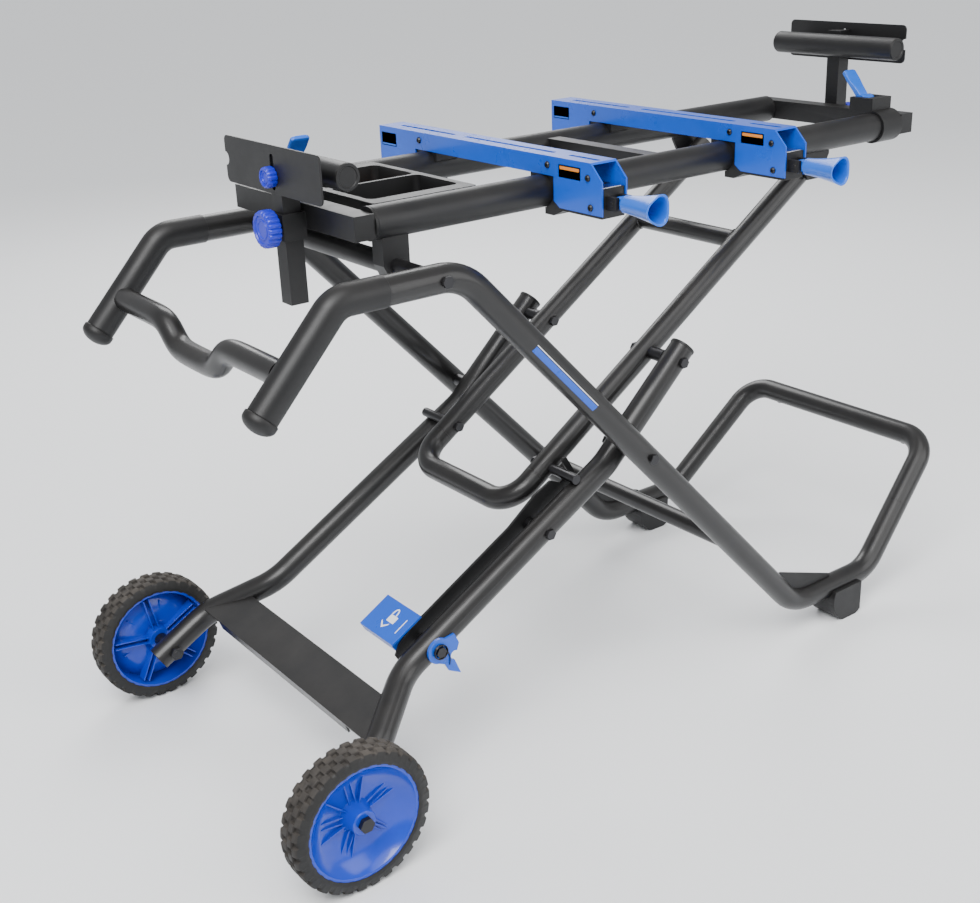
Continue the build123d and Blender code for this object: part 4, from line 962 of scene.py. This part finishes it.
class StandColours(bpy.types.PropertyGroup):
    """Base colours of the stand's finishes."""

    tube_black: colour_setting("Tubes", "Powder coat on the tubes", (0.0075, 0.0072, 0.0074))
    metal_black: colour_setting("Rails", "Matt black metal", (0.0068, 0.0068, 0.0074))
    plastic_black: colour_setting("Black plastic", "Caps and clamps", (0.0055, 0.0055, 0.006))
    beam_blue: colour_setting("Beams", "Paint on the saw beams", (0.003, 0.085, 0.56))
    moulded_blue: colour_setting("Handles", "Plastic of the handles", (0.012, 0.125, 0.62))
    hub_blue: colour_setting("Hubs", "Plastic of the wheel hubs", (0.003, 0.036, 0.44))
    knob_blue: colour_setting("Knobs", "Plastic of the knobs", (0.010, 0.018, 0.50))
    tread_brown: colour_setting("Tread", "Dusty block tops", (0.014, 0.0122, 0.011))
    rubber_black: colour_setting("Tyres", "Rubber of the tyres", (0.007, 0.007, 0.007))
    bolt_steel: colour_setting("Bolts", "Blackened steel", (0.045, 0.045, 0.048))
    bright_steel: colour_setting("Bright steel", "Plated clips and springs", (0.62, 0.62, 0.64))
    mark_white: colour_setting("Marks", "Printed marks", (0.85, 0.86, 0.88))
    label_black: colour_setting("Labels", "Label plates", (0.012, 0.014, 0.02))
    label_orange: colour_setting("Label bars", "Coloured bars", (0.75, 0.25, 0.04))


class StandSizes(bpy.types.PropertyGroup):
    """Sizes of the finished surfaces."""

    edge_radius: bpy.props.FloatProperty(
        name="Edge radius", description="Rounding of sheet and block edges",
        default=0.0006, min=0, max=0.003, unit="LENGTH",
    )
    tread_depth: bpy.props.FloatProperty(
        name="Tread depth", description="Depth of the tyre's grooves",
        default=0.0042, min=0, max=0.008, unit="LENGTH",
    )
    tread_blocks: bpy.props.IntProperty(
        name="Tread blocks", description="Blocks round each row of the tyre",
        default=30, min=8, max=60,
    )


class StandStage(bpy.types.PropertyGroup):
    """Floor, light and camera."""

    lens: bpy.props.FloatProperty(
        name="Lens", description="Focal length in millimetres", default=49.7, min=10, max=200
    )
    floor_size: bpy.props.FloatProperty(
        name="Floor", description="Half the floor's width", default=30.0, min=1, unit="LENGTH"
    )
    floor_colour: colour_setting("Floor colour", "Colour of the floor", (0.86, 0.87, 0.88))
    key_power: bpy.props.FloatProperty(
        name="Key light", description="Power of the main lamp", default=150.0, min=0
    )
    even_power: bpy.props.FloatProperty(
        name="Even light", description="Power of the soft sun", default=1.6, min=0
    )
    sky_strength: bpy.props.FloatProperty(
        name="Sky", description="Strength of the even light", default=0.6, min=0
    )


class SAWSTAND_OT_frame(bpy.types.Operator):
    """Smooth the frame's tubes, brackets and bolts, and build the carrying bar"""

    bl_idname = "sawstand.frame"
    bl_label = "Frame surfaces"

    def execute(self, context):
        build_frame()
        build_handle_bar()
        return {"FINISHED"}


class SAWSTAND_OT_wheels(bpy.types.Operator):
    """Build the tyres and hubs"""

    bl_idname = "sawstand.wheels"
    bl_label = "Wheels"

    def execute(self, context):
        for side, sign in NEAR_FAR:
            build_tyre(side)
            build_hub(side, sign)
        return {"FINISHED"}


class SAWSTAND_OT_latch_handles(bpy.types.Operator):
    """Build the trumpet handles and their clips"""

    bl_idname = "sawstand.latch_handles"
    bl_label = "Latch handles"

    def execute(self, context):
        for side, _ in SIDES:
            build_latch_handle(side)
        build_latch_clips()
        return {"FINISHED"}


class SAWSTAND_OT_knobs(bpy.types.Operator):
    """Build the large and small knobs"""

    bl_idname = "sawstand.knobs"
    bl_label = "Knobs"

    def execute(self, context):
        for side, _ in SIDES:
            build_knob(f"post_knob_{side}", 20, 0.012)
            build_knob(f"stop_knob_{side}", 12, 0.007)
        return {"FINISHED"}


class SAWSTAND_OT_cam_levers(bpy.types.Operator):
    """Build the cam levers of the rail clamps"""

    bl_idname = "sawstand.cam_levers"
    bl_label = "Cam levers"

    def execute(self, context):
        for side, sign in SIDES:
            build_cam_lever(side, sign)
        return {"FINISHED"}


class SAWSTAND_OT_grip_caps(bpy.types.Operator):
    """Build the domed caps of the grips"""

    bl_idname = "sawstand.grip_caps"
    bl_label = "Grip caps"

    def execute(self, context):
        build_grip_caps()
        return {"FINISHED"}


class SAWSTAND_OT_pedal(bpy.types.Operator):
    """Mark the pedal and add the hook's spring"""

    bl_idname = "sawstand.pedal"
    bl_label = "Pedal marks and hook spring"

    def execute(self, context):
        build_pedal_marks()
        build_hook_spring()
        return {"FINISHED"}


class SAWSTAND_OT_trim(bpy.types.Operator):
    """Add screws, labels, the tube stripe, welds, tray fittings and end caps"""

    bl_idname = "sawstand.trim"
    bl_label = "Small parts"

    def execute(self, context):
        build_screws()
        build_labels()
        build_stripe()
        build_welds()
        build_tray_fittings()
        build_bar_caps()
        return {"FINISHED"}


class SAWSTAND_OT_stage(bpy.types.Operator):
    """Set the floor, the lamps and the camera"""

    bl_idname = "sawstand.stage"
    bl_label = "Stage"

    def execute(self, context):
        build_stage()
        return {"FINISHED"}


OPERATORS = (
    SAWSTAND_OT_frame,
    SAWSTAND_OT_wheels,
    SAWSTAND_OT_latch_handles,
    SAWSTAND_OT_knobs,
    SAWSTAND_OT_cam_levers,
    SAWSTAND_OT_grip_caps,
    SAWSTAND_OT_pedal,
    SAWSTAND_OT_trim,
    SAWSTAND_OT_stage,
)


class SAWSTAND_PT_panel(bpy.types.Panel):
    """Lists the stand's settings and its building steps."""

    bl_label = "Saw stand"
    bl_idname = "SAWSTAND_PT_panel"
    bl_space_type = "VIEW_3D"
    bl_region_type = "UI"
    bl_category = "Saw stand"

    def draw(self, context):
        scene = context.scene
        for settings in (scene.stand_sizes, scene.stand_colours, scene.stand_stage):
            box = self.layout.box()
            for name in type(settings).__annotations__:
                box.prop(settings, name)
        for operator in OPERATORS:
            self.layout.operator(operator.bl_idname)


SETTINGS = (("stand_colours", StandColours), ("stand_sizes", StandSizes), ("stand_stage", StandStage))


def register():
    """Registers the settings, the operators and the panel."""
    for name, group in SETTINGS:
        bpy.utils.register_class(group)
        setattr(bpy.types.Scene, name, bpy.props.PointerProperty(type=group))
    for operator in (*OPERATORS, SAWSTAND_PT_panel):
        bpy.utils.register_class(operator)


def unregister():
    """Takes away what register added."""
    for operator in (SAWSTAND_PT_panel, *reversed(OPERATORS)):
        bpy.utils.unregister_class(operator)
    for name, group in reversed(SETTINGS):
        delattr(bpy.types.Scene, name)
        bpy.utils.unregister_class(group)


def main():
    """Registers the add-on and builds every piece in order."""
    register()
    for operator in OPERATORS:
        getattr(bpy.ops.sawstand, operator.bl_idname.split(".")[1])()


if __name__ == "__main__":
    main()
